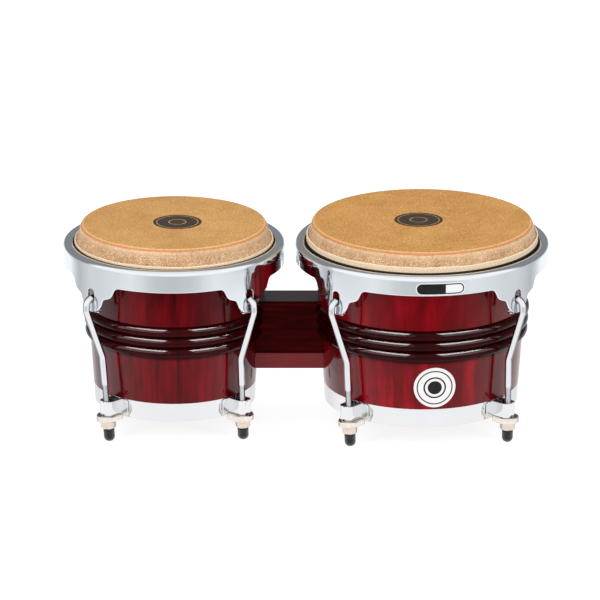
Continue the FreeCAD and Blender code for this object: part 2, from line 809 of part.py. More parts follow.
def make_rods(drum):
    """Rod, nut and tip at each of the four lugs."""
    shape = rod_shape(drum)
    toe, lean = rod_axis(drum)
    on_axis = Placement(toe, Rotation(Vector(0, 0, 1), lean))
    for i in range(LUGS):
        yaw = 45 + 90 * i + value[drum + "_tab_turn"]
        turn = Placement(Vector(drum_x(drum).value, 0, 0), Rotation(Vector(0, 0, 1), yaw))
        frame = turn.multiply(on_axis)
        name = "%s_rod_%d" % (drum, i + 1)
        rod = doc.addObject("Part::Feature", name)
        rod.Shape = shape
        rod.Placement = turn
        keep(rod, name)
        make_nut("%s_nut_%d" % (drum, i + 1), frame)
        make_tip("%s_tip_%d" % (drum, i + 1), frame)


def make_backing_plate(drum):
    """Curved plate inside the shell, behind the joining block."""
    gap, beyond_bolt = dim("glue_gap"), 14
    low, high = dim("bolt_low") - beyond_bolt, dim("bolt_high") + beyond_bolt
    body = new_body(drum + "_backing_plate")
    profile = sketch(body, drum + "_backing_outline", "XZ_Plane", [
        (plate_inside_r(drum, low), low),
        (inner_r(drum, low) - gap, low),
        (inner_r(drum, high) - gap, high),
        (plate_inside_r(drum, high), high),
    ])
    curved = turned(body, drum + "_backing_turned", profile, angle=24)
    curved.Midplane = True
    holes = blank_sketch(body, drum + "_backing_holes", "YZ_Plane")
    for alias in BOLTS:
        circle(holes, dim("bolt_r") + 0.2, dim(alias))
    pocket_through(body, drum + "_backing_bores", holes, True)
    stand(body, drum, block_turn(drum))
    keep(body, drum + "_backing_plate")


def make_block_bolts(drum):
    """Two hexagon bolts through plate and shell into the block."""
    bolts = []
    along_x = Rotation(Vector(0, 1, 0), 90)
    for alias in BOLTS:
        name, z = "%s_%s" % (drum, alias), value[alias]
        under_head = plate_inside_r(drum, dim(alias)).value - 0.75
        head = doc.addObject("Part::Prism", name + "_head")
        head.Polygon = 6
        head.Circumradius = 5.77
        bind(head, "Height", dim("bolt_head"))
        head.Placement = Placement(Vector(under_head - value["bolt_head"], 0, z), along_x)
        shank = doc.addObject("Part::Cylinder", name + "_shank")
        bind(shank, "Radius", dim("bolt_r"))
        bind(shank, "Height", dim("bolt_reach") + dim("wall") + 5)
        shank.Placement = Placement(Vector(under_head - 1, 0, z), along_x)
        bolt = doc.addObject("Part::Fuse", name + "_bolt")
        bolt.Base, bolt.Tool = head, shank
        bolts.append(bolt)
    pair = compound(drum + "_block_bolts", bolts)
    stand(pair, drum, block_turn(drum))
    keep(pair, drum + "_block_bolts")


# Joining block and its inserts

def eased_block():
    """The plain block, axis to axis, with its four long edges rounded."""
    box = doc.addObject("Part::Box", "block_blank")
    bind(box, "Length", dim("axis_half") * 2)
    bind(box, "Width", dim("block_half") * 2)
    bind(box, "Height", dim("block_tall"))
    bind(box, "Placement.Base.x", dim("middle_x") - dim("axis_half"))
    bind(box, "Placement.Base.y", -dim("block_half"))
    bind(box, "Placement.Base.z", dim("block_low"))
    doc.recompute()
    eased = doc.addObject("Part::Fillet", "block_eased")
    eased.Base = box
    radius = value["block_edge"]
    eased.Edges = [
        (i, radius, radius) for i, edge in enumerate(box.Shape.Edges, 1)
        if abs(edge.Vertexes[1].Point.x - edge.Vertexes[0].Point.x) > 10]
    return eased


def saddle(drum):
    """The shell's cone, run past the block above and below, that hollows the block's end."""
    over, clear = 6, 0.03
    low = dim("block_low") - over
    high = dim("block_low") + dim("block_tall") + over
    result = cone(drum + "_saddle", cone_r(drum, low) + clear, cone_r(drum, high) + clear,
                  dim("block_tall") + 2 * over, low)
    bind(result, "Placement.Base.x", drum_x(drum))
    return result


def bolt_line_cylinder(name, radius, drum, alias, depth, length):
    """Cylinder on a bolt's line, from a depth beyond the shell's face towards the block."""
    side = BLOCK_SIDE[drum]
    shell_r = cone_r(drum, dim(alias)).value
    face = side * (shell_r - value["axis_half"]) + value["middle_x"]
    result = doc.addObject("Part::Cylinder", name)
    bind(result, "Radius", radius)
    result.Height = length
    result.Placement = Placement(Vector(face + side * depth, 0, value[alias]),
                                 Rotation(Vector(0, 1, 0), 90 * side))
    return result


def make_center_block():
    """Wooden block, its ends hollowed to sit against both shells, and the inserts in it."""
    blank = eased_block()
    saddles = [saddle(drum) for drum in DRUMS]
    bores, sleeves = [], []
    before, beyond = 8, 3.5  # bore's start outside the shell's face, and its end past the bolt
    length = value["insert_long"]
    for drum in DRUMS:
        for alias in BOLTS:
            name = "%s_%s" % (drum, alias)
            bores.append(bolt_line_cylinder(
                name + "_block_bore", dim("insert_r") + dim("glue_gap"), drum, alias,
                -before, before + value["bolt_reach"] + beyond))
            outer = bolt_line_cylinder(
                name + "_insert_outer", dim("insert_r"), drum, alias, 2.0, length)
            inner = bolt_line_cylinder(
                name + "_insert_inner", dim("bolt_r") + 0.05, drum, alias, 1.0, length + 2)
            sleeves.append(cut(name + "_insert", outer, inner))
    saddled = cut("block_saddled", blank, compound("saddle_pair", saddles))
    keep(cut("block_drilled", saddled, compound("block_bores", bores)), "center_block")
    keep(compound("block_inserts", sleeves), "block_inserts")


# Badge and label on the -Y side of the large drum

def make_patch(name, radius_low, radius_high, middle, reach, corners, turn):
    """Thin plate that follows a cone, cut to an outline facing -Y plus a turn."""
    gap, thick = dim("glue_gap"), dim("badge_thick")
    low, height = middle - reach, 2 * reach
    outside = cone(name + "_out", radius_low + (gap + thick), radius_high + (gap + thick),
                   height, low)
    inside = cone(name + "_in", radius_low + gap, radius_high + gap, height, low)
    patch = doc.addObject("Part::Common", name)
    patch.Base = cut(name + "_sheet", outside, inside)
    patch.Tool = prism(name + "_outline", corners, -90 + turn, dim("large_low") - 20, 60)
    stand(patch, "large")
    keep(patch, name)


def make_badge():
    """Plain round plate on the large shell."""
    middle, radius, reach = dim("badge_height"), dim("badge_r"), 21
    corners = [
        (0, middle - radius, radius + ARC_SLACK, 1),
        (0, middle + radius, radius + ARC_SLACK, 1),
    ]
    make_patch("large_badge", cone_r("large", middle - reach), cone_r("large", middle + reach),
               middle, reach, corners, value["badge_turn"])


def make_label():
    """Plain long plate with round ends on the large rim."""
    middle, half = dim("label_height"), dim("label_half")
    straight = dim("label_long") - half
    cone_growth = 0.0005  # a cone needs two different radii
    corners = [
        (-straight, middle - half),
        (straight, middle - half, half + ARC_SLACK, 1),
        (straight, middle + half),
        (-straight, middle + half, half + ARC_SLACK, 1),
    ]
    make_patch("large_rim_label", dim("large_rim"), dim("large_rim") + cone_growth,
               middle, 9, corners, value["label_turn"])


def make_drum(drum):
    make_shell(drum)
    for level, step in (("upper", 1), ("middle", 0), ("lower", -1)):
        make_ring(drum, level, step)
    make_bottom_band(drum)
    make_head_skin(drum)
    make_flesh_hoop(drum)
    make_rim(drum)
    make_lug_brackets(drum)
    make_washer_plates(drum)
    make_rods(drum)
    make_backing_plate(drum)
    make_block_bolts(drum)


fill_sheet()
for drum_name in DRUMS:
    make_drum(drum_name)
make_center_block()
make_badge()
make_label()

doc.recompute()
for obj in doc.Objects:
    if "Invalid" in obj.State or "Error" in obj.State:
        raise RuntimeError("%s did not compute: %s" % (obj.Name, obj.State))
for obj in kept:
    if obj.Shape.isNull() or not obj.Shape.isValid() or not obj.Shape.Solids:
        raise RuntimeError("%s has no valid solid" % obj.Label)
os.makedirs("parts", exist_ok=True)
for obj in kept:
    obj.Shape.exportStep("parts/%s.step" % obj.Label)
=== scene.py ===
"""A pair of bongo drums joined by a centre block, standing on the floor (z = 0).

The drums stand side by side along x, the small one at lower x and the large one at higher x,
with their axes upright. The camera looks from -y, so -y is the front. Sizes of pieces are in mm;
materials, floor, lights and camera are in metres.

A "lug" is one of four places round a drum with a hook rod, hex nut, washer plate and bracket.
A lug's own frame has x outwards from the drum's axis, y along the tangent and z up.
"""
import math
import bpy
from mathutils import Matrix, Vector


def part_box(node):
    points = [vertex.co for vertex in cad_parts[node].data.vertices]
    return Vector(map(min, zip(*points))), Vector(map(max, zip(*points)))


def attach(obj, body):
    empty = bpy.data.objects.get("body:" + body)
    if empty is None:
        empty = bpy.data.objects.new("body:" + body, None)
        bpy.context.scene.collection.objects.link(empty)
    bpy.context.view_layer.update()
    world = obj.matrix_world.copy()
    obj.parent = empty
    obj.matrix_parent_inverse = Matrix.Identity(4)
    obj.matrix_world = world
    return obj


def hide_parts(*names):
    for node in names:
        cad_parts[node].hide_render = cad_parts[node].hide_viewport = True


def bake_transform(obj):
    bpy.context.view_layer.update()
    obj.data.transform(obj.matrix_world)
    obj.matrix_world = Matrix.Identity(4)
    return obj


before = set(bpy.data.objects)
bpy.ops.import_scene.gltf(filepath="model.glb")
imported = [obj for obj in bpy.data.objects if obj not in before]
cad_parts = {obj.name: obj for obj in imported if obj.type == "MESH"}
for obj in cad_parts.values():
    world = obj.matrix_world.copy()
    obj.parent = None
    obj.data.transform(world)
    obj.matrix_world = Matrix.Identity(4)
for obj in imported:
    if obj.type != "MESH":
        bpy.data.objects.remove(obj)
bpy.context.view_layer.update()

from types import SimpleNamespace

import bmesh
import bpy
import numpy as np
from mathutils import Vector

# ------------------------------------------------------------------ sizes, mm
MM = 0.001


def drum(name, **sizes):
    """A drum's sizes, with its axis and playing surface read from the CAD."""
    low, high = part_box(name + "_shell")
    axis_x = (low.x + high.x) / 2 / MM
    head_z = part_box(name + "_head_skin")[1].z / MM
    return SimpleNamespace(name=name, x=axis_x, head_z=head_z, **sizes)


# wall, top: shell radius at the brackets and at the top
# rim, lip: outer radius of the tension rim and radius of the opening in its top
# skirt_z: height of the rim's lower edge between its tabs
# tip, bend: plan points, in the lug's frame, where the rod's leaning axis starts and bends
# lug_turn, bracket_turn: degrees past the diagonals
# flat_inset, crease_out: edge of the flat skin inside, and crease outside, the top radius
# flap_z, flap_steps: top of the skin's flap, and rows down its outer side
# blend_z: height, in metres, given as the end of the skin's blend with the rim
SMALL = drum(
    "small", wall=75.1, top=83.8, rim=101.9, lip=92.7, skirt_z=153.6,
    tip=(86.2, 5.88), bend=(89.2, 0.47), lug_turn=-1.45, bracket_turn=1.6,
    flat_inset=2.4, crease_out=2.3, flap_z=175.35, flap_steps=3, wave_seed=10, blend_z=0.1752)
LARGE = drum(
    "large", wall=90.2, top=100.0, rim=116.7, lip=107.6, skirt_z=155.7,
    tip=(101.79, 4.8), bend=(104.0, 2.36), lug_turn=2.0, bracket_turn=3.4,
    flat_inset=2.6, crease_out=1.9, flap_z=179.6, flap_steps=6, wave_seed=50, blend_z=0.1776)

MIDDLE_X = (SMALL.x + LARGE.x) / 2 * MM     # metres, halfway between the drums' axes
HALF_PITCH = (LARGE.x - SMALL.x) / 2 * MM   # metres

RIM_WALL = 2.4
ROD_BEND_Z = 80.5
TOE_SIZE = 5.1      # with the axis's lean, sets the height of the toe point
NUT_START = 12.9    # along the rod's axis from its toe point
NUT_LENGTH = 7.4
PLATE_TOP_Z = 25.6


# ------------------------------------------------------------------ mesh helpers
def link(name, verts, faces, smooth=True, scale=MM):
    mesh = bpy.data.meshes.new(name)
    mesh.from_pydata((np.asarray(verts, float) * scale).tolist(), [], faces)
    mesh.validate()
    mesh.update()
    ob = bpy.data.objects.new(name, mesh)
    bpy.context.scene.collection.objects.link(ob)
    if smooth:
        mesh.polygons.foreach_set("use_smooth", [True] * len(mesh.polygons))
    mesh.update()
    return ob


def outward(ob):
    """Makes every face of a closed mesh point outwards."""
    bm = bmesh.new()
    bm.from_mesh(ob.data)
    bmesh.ops.recalc_face_normals(bm, faces=bm.faces)
    bm.to_mesh(ob.data)
    bm.free()
    ob.data.update()
    return ob


def sharpen(ob, degrees):
    ob.data.set_sharp_from_angle(angle=math.radians(degrees))
    return ob


def grid_faces(rows, cols, wrap_rows=False, base=0):
    """Quads between rings of cols vertices, each ring closed on itself."""
    out = []
    for i in range(rows if wrap_rows else rows - 1):
        a, b = base + i * cols, base + (i + 1) % rows * cols
        for j in range(cols):
            k = (j + 1) % cols
            out.append((a + j, a + k, b + k, b + j))
    return out


def capped_faces(rows, cols, base=0):
    """A grid of rings with a flat face over each end."""
    faces = grid_faces(rows, cols, base=base)
    faces.append(tuple(base + k for k in reversed(range(cols))))
    faces.append(tuple(base + (rows - 1) * cols + k for k in range(cols)))
    return faces


def lathe(name, profile, segs, centre_x, shape):
    """Turns a profile (radius, z), with both ends on the axis, about a vertical axis.

    shape(radii, heights, angles) adjusts the grid first. Also returns each vertex's profile row.
    """
    rows = len(profile)
    angles = np.linspace(0, 2 * math.pi, segs, endpoint=False)
    angles = np.repeat(angles[None, :], rows, 0)
    radii = np.repeat(profile[:, 0][:, None], segs, 1)
    heights = np.repeat(profile[:, 1][:, None], segs, 1)
    radii, heights = shape(radii, heights, angles)
    grid = [centre_x + radii * np.cos(angles), radii * np.sin(angles), heights]
    # each end row keeps one vertex, the pole
    kept = np.r_[0, np.arange(segs, (rows - 1) * segs + 1)]
    verts = np.stack(grid, -1).reshape(-1, 3)[kept]
    last = len(verts) - 1
    after = [(j + 1) % segs for j in range(segs)]
    faces = [(0, 1 + j, 1 + after[j]) for j in range(segs)]
    faces += grid_faces(rows - 2, segs, base=1)
    faces += [(last - segs + j, last, last - segs + after[j]) for j in range(segs)]
    return link(name, verts, faces), kept // segs


def arc_points(x, y, radius, start, end, count):
    """Points of an arc, angles in degrees."""
    angles = np.radians(np.linspace(start, end, count))
    return [(x + radius * math.cos(a), y + radius * math.sin(a)) for a in angles]


def arc_between(start, end, radius, left):
    """Points of an arc whose centre is to the left or right of the way from start to end."""
    start, end = np.asarray(start, float), np.asarray(end, float)
    way = end - start
    length = np.linalg.norm(way)
    normal = np.array([-way[1], way[0]]) / length
    height = math.sqrt(max(0.0, radius * radius - length * length / 4))
    centre = (start + end) / 2 + normal * height * (1 if left else -1)
    first = math.atan2(*(start - centre)[::-1])
    last = math.atan2(*(end - centre)[::-1])
    sweep = (last - first + math.pi) % (2 * math.pi) - math.pi
    return [centre + radius * np.array([math.cos(first + sweep * t), math.sin(first + sweep * t)])
            for t in np.linspace(0, 1, 14)]


def round_path(points, radii, step):
    """A polyline with its inner corners turned into arcs, one point per step degrees or so."""
    points = [np.asarray(p, float) for p in points]
    out = [points[0]]
    for i in range(1, len(points) - 1):
        corner, radius = points[i], radii[i]
        back = points[i - 1] - corner
        ahead = points[i + 1] - corner
        back /= np.linalg.norm(back)
        ahead /= np.linalg.norm(ahead)
        turn = math.pi - math.acos(max(-1, min(1, float(back @ ahead))))
        cut = radius * math.tan(turn / 2)
        start, end = corner + back * cut, corner + ahead * cut
        bisector = (back + ahead) / np.linalg.norm(back + ahead)
        centre = corner + bisector * (radius / math.cos(turn / 2))
        count = max(3, int(math.degrees(turn) / step) + 2)
        first = (start - centre) / radius
        normal = np.cross(first, (end - centre) / radius)
        normal /= np.linalg.norm(normal)
        second = np.cross(normal, first)
        for k in range(count):
            angle = turn * k / (count - 1)
            out.append(centre + radius * (math.cos(angle) * first + math.sin(angle) * second))
    out.append(points[-1])
    return out


def fill_gaps(points, longest, shortest=0.0):
    """Adds points in long gaps and drops points that nearly sit on the one before."""
    out = [points[0]]
    for p in points[1:]:
        last = out[-1]
        gap = np.linalg.norm(p - last)
        if gap < shortest:
            continue
        extra = int(gap // longest)
        for k in range(1, extra + 1):
            out.append(last + (p - last) * k / (extra + 1))
        out.append(p)
    return out


def across(axis):
    """Two unit vectors square to axis."""
    x = np.array([1.0, 0, 0])
    x = x - axis * (x @ axis)
    x /= np.linalg.norm(x)
    return x, np.cross(axis, x)


def tangents(points):
    out = np.gradient(points, axis=0)
    return out / np.linalg.norm(out, axis=1)[:, None]


def tube(points, radius_at, cols):
    """A capped tube. radius_at(k, length so far, angles) gives the radii round point k."""
    points = np.asarray(points, float)
    along = tangents(points)
    lengths = np.r_[0, np.cumsum(np.linalg.norm(np.diff(points, axis=0), axis=1))]
    u, _ = across(along[0])
    angles = np.linspace(0, 2 * math.pi, cols, endpoint=False)
    verts = []
    for k in range(len(points)):
        u = u - along[k] * (u @ along[k])
        u /= np.linalg.norm(u)
        v = np.cross(along[k], u)
        r = radius_at(k, lengths[k], angles)
        verts.append(points[k] + np.outer(r * np.cos(angles), u) + np.outer(r * np.sin(angles), v))
    return np.concatenate(verts), capped_faces(len(points), cols)


# ------------------------------------------------------------------ lugs
def place(points, drum, yaw):
    """Points in the lug frame at this yaw, in degrees, to the frame of the whole pair."""
    local = np.asarray(points, float)
    cos, sin = math.cos(math.radians(yaw)), math.sin(math.radians(yaw))
    out = local.copy()
    out[..., 0] = drum.x + local[..., 0] * cos - local[..., 1] * sin
    out[..., 1] = local[..., 0] * sin + local[..., 1] * cos
    return out


def lug_yaw(index, turn):
    return 45 + 90 * (index - 1) + turn


def link_lug(drum, kind, index, verts, faces):
    """Links a piece made in the frame of its lug."""
    verts = place(verts, drum, lug_yaw(index, drum.lug_turn))
    return link("%s_%s_%d" % (drum.name, kind, index), verts, faces)


def rod_axis(drum):
    """Toe point and direction of the rod's leaning part, in the lug's frame."""
    tip, bend = drum.tip, drum.bend
    axis = np.array([bend[0] - tip[0], bend[1] - tip[1], ROD_BEND_Z])
    axis /= np.linalg.norm(axis)
    return np.array([tip[0], tip[1], TOE_SIZE * (1 - axis[2])]), axis


def make_rod(drum, index):
    """Threaded rod that leans up to a bend, then hooks inwards over the rim's wall."""
    rod_radius = 3.2
    thread_start, thread_top_z, thread_step = 4.5, 54.5, 0.125
    thread_pitch, root_radius, thread_depth = 1.0, 2.42, 0.51
    runout = 1.6            # length over which the thread fades into the plain rod
    arch_radius = 6.9
    arch_z = drum.skirt_z - 21.3
    upright_z = drum.skirt_z - 25.6
    end_z = drum.skirt_z - 29.6
    # height above the hook's end, radius
    rounded_end = ((2.4, rod_radius), (1.2, 3.1), (0.5, 2.78), (0.12, 2.3), (0.0, 1.5))

    toe, axis = rod_axis(drum)
    wall_x = drum.rim - RIM_WALL / 2
    outer_x = wall_x + arch_radius
    thread_end = (thread_top_z - toe[2]) / axis[2]
    thread = [toe + axis * s for s in np.arange(thread_start, thread_end, thread_step)]
    bend = toe + axis * ((ROD_BEND_Z - toe[2]) / axis[2])
    shank = round_path(
        [thread[-1], bend, (outer_x, 0, upright_z), (outer_x, 0, arch_z)],
        radii=[0, 14, 9, 0], step=2.0)
    arch = [np.array([x, 0, z])
            for x, z in arc_points(wall_x, arch_z, arch_radius, 0, 180, 33)[1:]]
    leg = [np.array([wall_x - arch_radius, 0, z]) for z in np.linspace(arch_z, end_z, 6)[1:]]
    points = fill_gaps(thread + shank[1:] + arch + leg, longest=2.2)
    end = points.pop()
    first_end = len(points)
    points += [end + np.array([0, 0, height]) for height, _ in rounded_end]

    def radius_at(k, along, angles):
        if k >= first_end:
            return np.full_like(angles, rounded_end[k - first_end][1])
        if k >= len(thread):
            return np.full_like(angles, rod_radius)
        phase = (along / thread_pitch - angles / (2 * math.pi)) % 1.0
        # triangle wave with its crests and roots cut flat
        ridge = np.clip((1 - np.abs(2 * phase - 1)) * 1.35 - 0.12, 0, 1)
        radii = root_radius + thread_depth * ridge
        left = (len(thread) - 1 - k) * thread_step
        if left < runout:
            plain = 1 - left / runout
            radii = radii * (1 - plain) + rod_radius * plain
        return radii

    verts, faces = tube(points, radius_at, cols=26)
    return link_lug(drum, "hook_rod", index, verts, faces)


def make_nut(drum, index):
    """Hex nut on the rod, chamfered at both ends."""
    half_flats, corner_radius, face_radius = 6.25, 7.14, 5.95
    blend = 9               # sharpness with which the corners meet corner_radius
    chamfer_slope = 1.732   # outwards per unit along the axis
    # radius, depth below the end face, from the bore outwards
    end_face = ((3.02, 0.55), (3.5, 0), (3.62, 0), (face_radius - 0.15, 0))
    chamfer_steps = (0, 0.15, 0.5, 0.85, 1.0)

    toe, axis = rod_axis(drum)
    u, v = across(axis)
    low, high = NUT_START, NUT_START + NUT_LENGTH
    cols = 120
    angles = np.linspace(0, 2 * math.pi, cols, endpoint=False)
    hexagon = half_flats / np.cos((angles + math.pi / 6) % (math.pi / 3) - math.pi / 6)
    hexagon = -np.log(np.exp(-hexagon * blend) + np.exp(-corner_radius * blend)) / blend
    overhang = hexagon - face_radius
    chamfer = overhang / chamfer_slope

    rows = [(r, low + depth) for r, depth in end_face]
    rows += [(face_radius + t * overhang, low + t * chamfer) for t in chamfer_steps]
    rows += [(hexagon, (low + chamfer) * (1 - t) + (high - chamfer) * t)
             for t in (0.06, 0.35, 0.65, 0.94)]
    rows += [(face_radius + t * overhang, high - t * chamfer) for t in reversed(chamfer_steps)]
    rows += [(r, high - depth) for r, depth in reversed(end_face)]
    verts = np.concatenate([
        toe + np.outer(r * np.cos(angles), u) + np.outer(r * np.sin(angles), v)
        + np.outer(z * np.ones(cols), axis) for r, z in rows])
    faces = grid_faces(len(rows), cols, wrap_rows=True)
    return sharpen(outward(link_lug(drum, "hex_nut", index, verts, faces)), 24)


def plate_outline(x, y):
    """Washer plate's outline, round outwards and squarer inwards, as (points, normals)."""
    half_width, inner_length, corner = 10.2, 11.6, 3.0
    corner_x = x - inner_length + corner
    # centre, radius, start and end in degrees, points
    arcs = ((x, y, half_width, -90, 90, 56),
            (corner_x, y + half_width - corner, corner, 90, 180, 14),
            (corner_x, y - half_width + corner, corner, 180, 270, 14))
    outline = []
    for centre_x, centre_y, r, start, end, count in arcs:
        for t in np.radians(np.linspace(start, end, count)):
            cos, sin = math.cos(t), math.sin(t)
            outline.append((centre_x + r * cos, centre_y + r * sin, cos, sin))
    outline = np.array(outline)
    dense = []
    for p, q in zip(outline, np.roll(outline, -1, axis=0)):
        gap = math.hypot(q[0] - p[0], q[1] - p[1])
        steps = max(1, int(gap / 0.9))
        dense += [p + (q - p) * j / steps for j in range(steps)]
    dense = np.array(dense)
    normals = dense[:, 2:4]
    return dense[:, :2], normals / np.linalg.norm(normals, axis=1)[:, None]


def make_plate(drum, index):
    """Washer plate: level on top, its underside square to the rod and resting on the nut."""
    centre_along = 23       # plate centre's place along the rod's axis
    hole_radius = 3.36
    top_round, under_round = 1.15, 0.7
    inset = 1.3             # of the flat faces' outer ring from the outline

    toe, axis = rod_axis(drum)
    seat = NUT_START + NUT_LENGTH + 0.05
    outline, normals = plate_outline(
        toe[0] + axis[0] * centre_along, toe[1] + axis[1] * centre_along)
    flat_edge = outline - normals * inset

    def under_z(plan):
        """Height of the slanted underside over plan points."""
        return toe[2] + (seat - (plan - toe[:2]) @ axis[:2]) / axis[2]

    def hole_ring(radius, z):
        centre = toe[:2] + axis[:2] * ((z - toe[2]) / axis[2])
        away = outline - centre
        away /= np.linalg.norm(away, axis=1)[:, None]
        return centre + away * radius

    rows = []

    def add_row(plan, z):
        rows.append(np.c_[plan, z * np.ones(len(plan))])

    # top, from the hole outwards
    for widen, drop in ((0, 0.7), (0.12, 0.28), (0.45, 0.0)):
        add_row(hole_ring(hole_radius + widen, PLATE_TOP_Z), PLATE_TOP_Z - drop)
    inner = hole_ring(hole_radius + 0.45, PLATE_TOP_Z)
    for t in (0.35, 0.7):
        add_row(inner * (1 - t) + flat_edge * t, PLATE_TOP_Z)
    for q in np.radians([0, 18, 36, 54, 72, 90]):
        add_row(outline - normals * top_round * (1 - math.sin(q)),
                PLATE_TOP_Z - top_round * (1 - math.cos(q)))
    # underside, back to the hole
    for q in np.radians([90, 60, 30, 0]):
        plan = outline - normals * under_round * (1 - math.sin(q))
        add_row(plan, under_z(plan) + under_round * (1 - math.cos(q)))
    ring = hole_ring(hole_radius + 0.3, seat)
    halfway = flat_edge * 0.5 + ring * 0.5
    add_row(halfway, under_z(halfway))
    add_row(ring, under_z(ring))
    ring = hole_ring(hole_radius, seat + 0.4)
    add_row(ring, under_z(ring) + 0.4)
    faces = grid_faces(len(rows), len(outline), wrap_rows=True)
    return outward(link_lug(drum, "washer", index, np.concatenate(rows), faces))


def strap_section(half_thick, height, edge):
    """Rounded rectangle as (across, up) points, with extra points on its long sides."""
    x = half_thick - edge
    corners = []
    for cx, cy, start in ((x, height - edge, 0), (-x, height - edge, 90),
                          (-x, edge, 180), (x, edge, 270)):
        corners += arc_points(cx, cy, edge, start, start + 90, 5)
    corners = np.array(corners)
    section = []
    for p, q in zip(corners, np.roll(corners, -1, axis=0)):
        steps = 1 if np.linalg.norm(q - p) < 2 else 5
        section += [p + (q - p) * j / steps for j in range(steps)]
    return np.array(section)


def make_bracket(drum, index):
    """Bent strap: two curved feet on the shell and a squared loop outwards round the rod."""
    thick, height = 1.8, 13.8
    half = thick / 2
    inner_half_width = 5.2
    foot_reach = 13.6       # feet's ends, sideways from the middle
    foot_corner = 2.2
    nick_radius = 0.9       # notch in both edges at the middle of the nose
    low_z = PLATE_TOP_Z + 0.1
    foot_radius = drum.wall + 0.06 + half
    nose_x = math.hypot(*drum.tip) + 5.05 + half
    leg_y = inner_half_width + half

    def at(x, y):
        return np.array([x, y, 0.0])

    foot_angles = np.linspace(
        math.asin(foot_reach / foot_radius), math.asin(leg_y / foot_radius), 9)
    foot = [at(foot_radius * math.cos(t), foot_radius * math.sin(t)) for t in foot_angles]
    side = foot[:-2] + round_path([foot[-2], foot[-1], at(nose_x, leg_y), at(nose_x, 1.4)],
                                  radii=[0, 1.35, 3.9, 0], step=7.0)
    # fine steps across the nicked middle of the nose
    side += [at(nose_x, y) for y in (1.15, 1.0, 0.9, 0.85, 0.75, 0.6, 0.4, 0.2)]
    mirrored = [p * np.array([1, -1, 1]) for p in reversed(side)]
    path = np.array(fill_gaps(side + [at(nose_x, 0.0)] + mirrored, longest=2.5, shortest=0.04))

    along = tangents(path)
    normals = np.c_[along[:, 1], -along[:, 0]]
    section = strap_section(half, height, edge=0.5)
    verts = []
    count = len(path)
    for k, (x, y, _) in enumerate(path):
        nick = 0.0
        if abs(x - nose_x) < 0.01:
            nick = math.sqrt(max(0.0, nick_radius * nick_radius - y * y))
        # rounded end corners of the feet
        nearest = min(k, count - 1 - k)
        from_end = np.linalg.norm(np.diff(path[:nearest + 1], axis=0), axis=1).sum()
        cut = 0.0
        if from_end < foot_corner:
            cut = foot_corner - math.sqrt(
                max(0.0, foot_corner * foot_corner - (foot_corner - from_end) ** 2))
        low, high = nick + cut, height - nick - cut
        up = low + (section[:, 1] / height) * (high - low)
        verts.append(np.c_[x + normals[k, 0] * section[:, 0],
                           y + normals[k, 1] * section[:, 0], low_z + up])
    verts = place(np.concatenate(verts), drum, lug_yaw(index, drum.bracket_turn))
    faces = capped_faces(count, len(section))
    ob = link("%s_bracket_%d" % (drum.name, index), verts, faces)
    return sharpen(outward(ob), 50)


# ------------------------------------------------------------------ tension rim
# half of a tab's edge: start and end (sideways, height from the skirt's edge), radius,
# and whether the centre lies left of the way
TAB_ARCS = (
    ((32, 0), (27.2, -3.0), 5.34, True),
    ((25.0, -7.5), (20.9, -11.2), 7.4, False),
    ((16.9, -12.66), (14.1, -15.5), 4.72, True),
    ((13.1, -18.2), (0, -27.12), 13.81, False),
)


def tab_edge():
    """The rim's lower edge near one tab: x, height and outward unit normal, sorted by x."""
    half = [np.array([40.0, 0.0])]
    for arc in TAB_ARCS:
        half += arc_between(*arc)
    half = np.array(half)
    # even steps, lightly smoothed so that the corners flow
    lengths = np.r_[0, np.cumsum(np.linalg.norm(np.diff(half, axis=0), axis=1))]
    even = np.arange(0, lengths[-1], 0.1)
    x, z = np.interp(even, lengths, half[:, 0]), np.interp(even, lengths, half[:, 1])
    kernel = np.exp(-np.linspace(-2.2, 2.2, 17) ** 2)
    kernel /= kernel.sum()
    pad = 8
    x = np.convolve(np.pad(np.r_[x, -x[::-1]], pad, "edge"), kernel, "valid")
    z = np.convolve(np.pad(np.r_[z, z[::-1]], pad, "edge"), kernel, "valid")
    dx, dz = np.gradient(x), np.gradient(z)
    length = np.hypot(dx, dz)
    order = np.argsort(x)
    # the way runs towards -x with the metal above, so outwards is down
    return x[order], z[order], (-dz / length)[order], (dx / length)[order]


def slot_cutter(drum):
    """Four upright round-ended plugs for the hook slots, flared to round the slots' edges."""
    half_width, edge, flare = 4.1, 0.6, 1.2
    low = drum.skirt_z - 18.3 + half_width
    high = drum.skirt_z - 5.2 - half_width
    outline = []            # sideways, height, normal
    for start, z, next_z, side in ((0, high, low, -1), (math.pi, low, high, 1)):
        for q in np.linspace(start, start + math.pi, 33):
            cos, sin = math.cos(q), math.sin(q)
            outline.append((half_width * cos, z + half_width * sin, cos, sin))
        for w in np.linspace(0, 1, 7)[1:-1]:
            outline.append((side * half_width, z + (next_z - z) * w, side, 0))
    outline = np.array(outline)

    outer, inner = drum.rim, drum.rim - RIM_WALL
    turns = [4, 22, 45, 68, 90]
    profile = [(outer + flare, edge + 0.9)]     # radius, growth of the outline
    for q in np.radians(turns):
        profile.append((outer - edge + edge * math.cos(q) + 0.02, edge * (1 - math.sin(q))))
    for q in np.radians(turns[::-1]):
        profile.append((inner + edge - edge * math.cos(q) - 0.02, edge * (1 - math.sin(q))))
    profile.append((inner - flare, edge + 0.9))

    rings = []
    for radius, growth in profile:
        y = outline[:, 0] + outline[:, 2] * growth
        z = outline[:, 1] + outline[:, 3] * growth
        rings.append(np.c_[np.sqrt(np.maximum(radius * radius - y * y, 0)), y, z])
    rings = np.concatenate(rings)
    verts, faces = [], []
    for index in range(1, 5):
        faces += capped_faces(len(profile), len(outline), base=len(verts))
        verts.extend(place(rings, drum, lug_yaw(index, drum.lug_turn)).tolist())
    return outward(link(drum.name + "_slot_cutter", verts, faces))


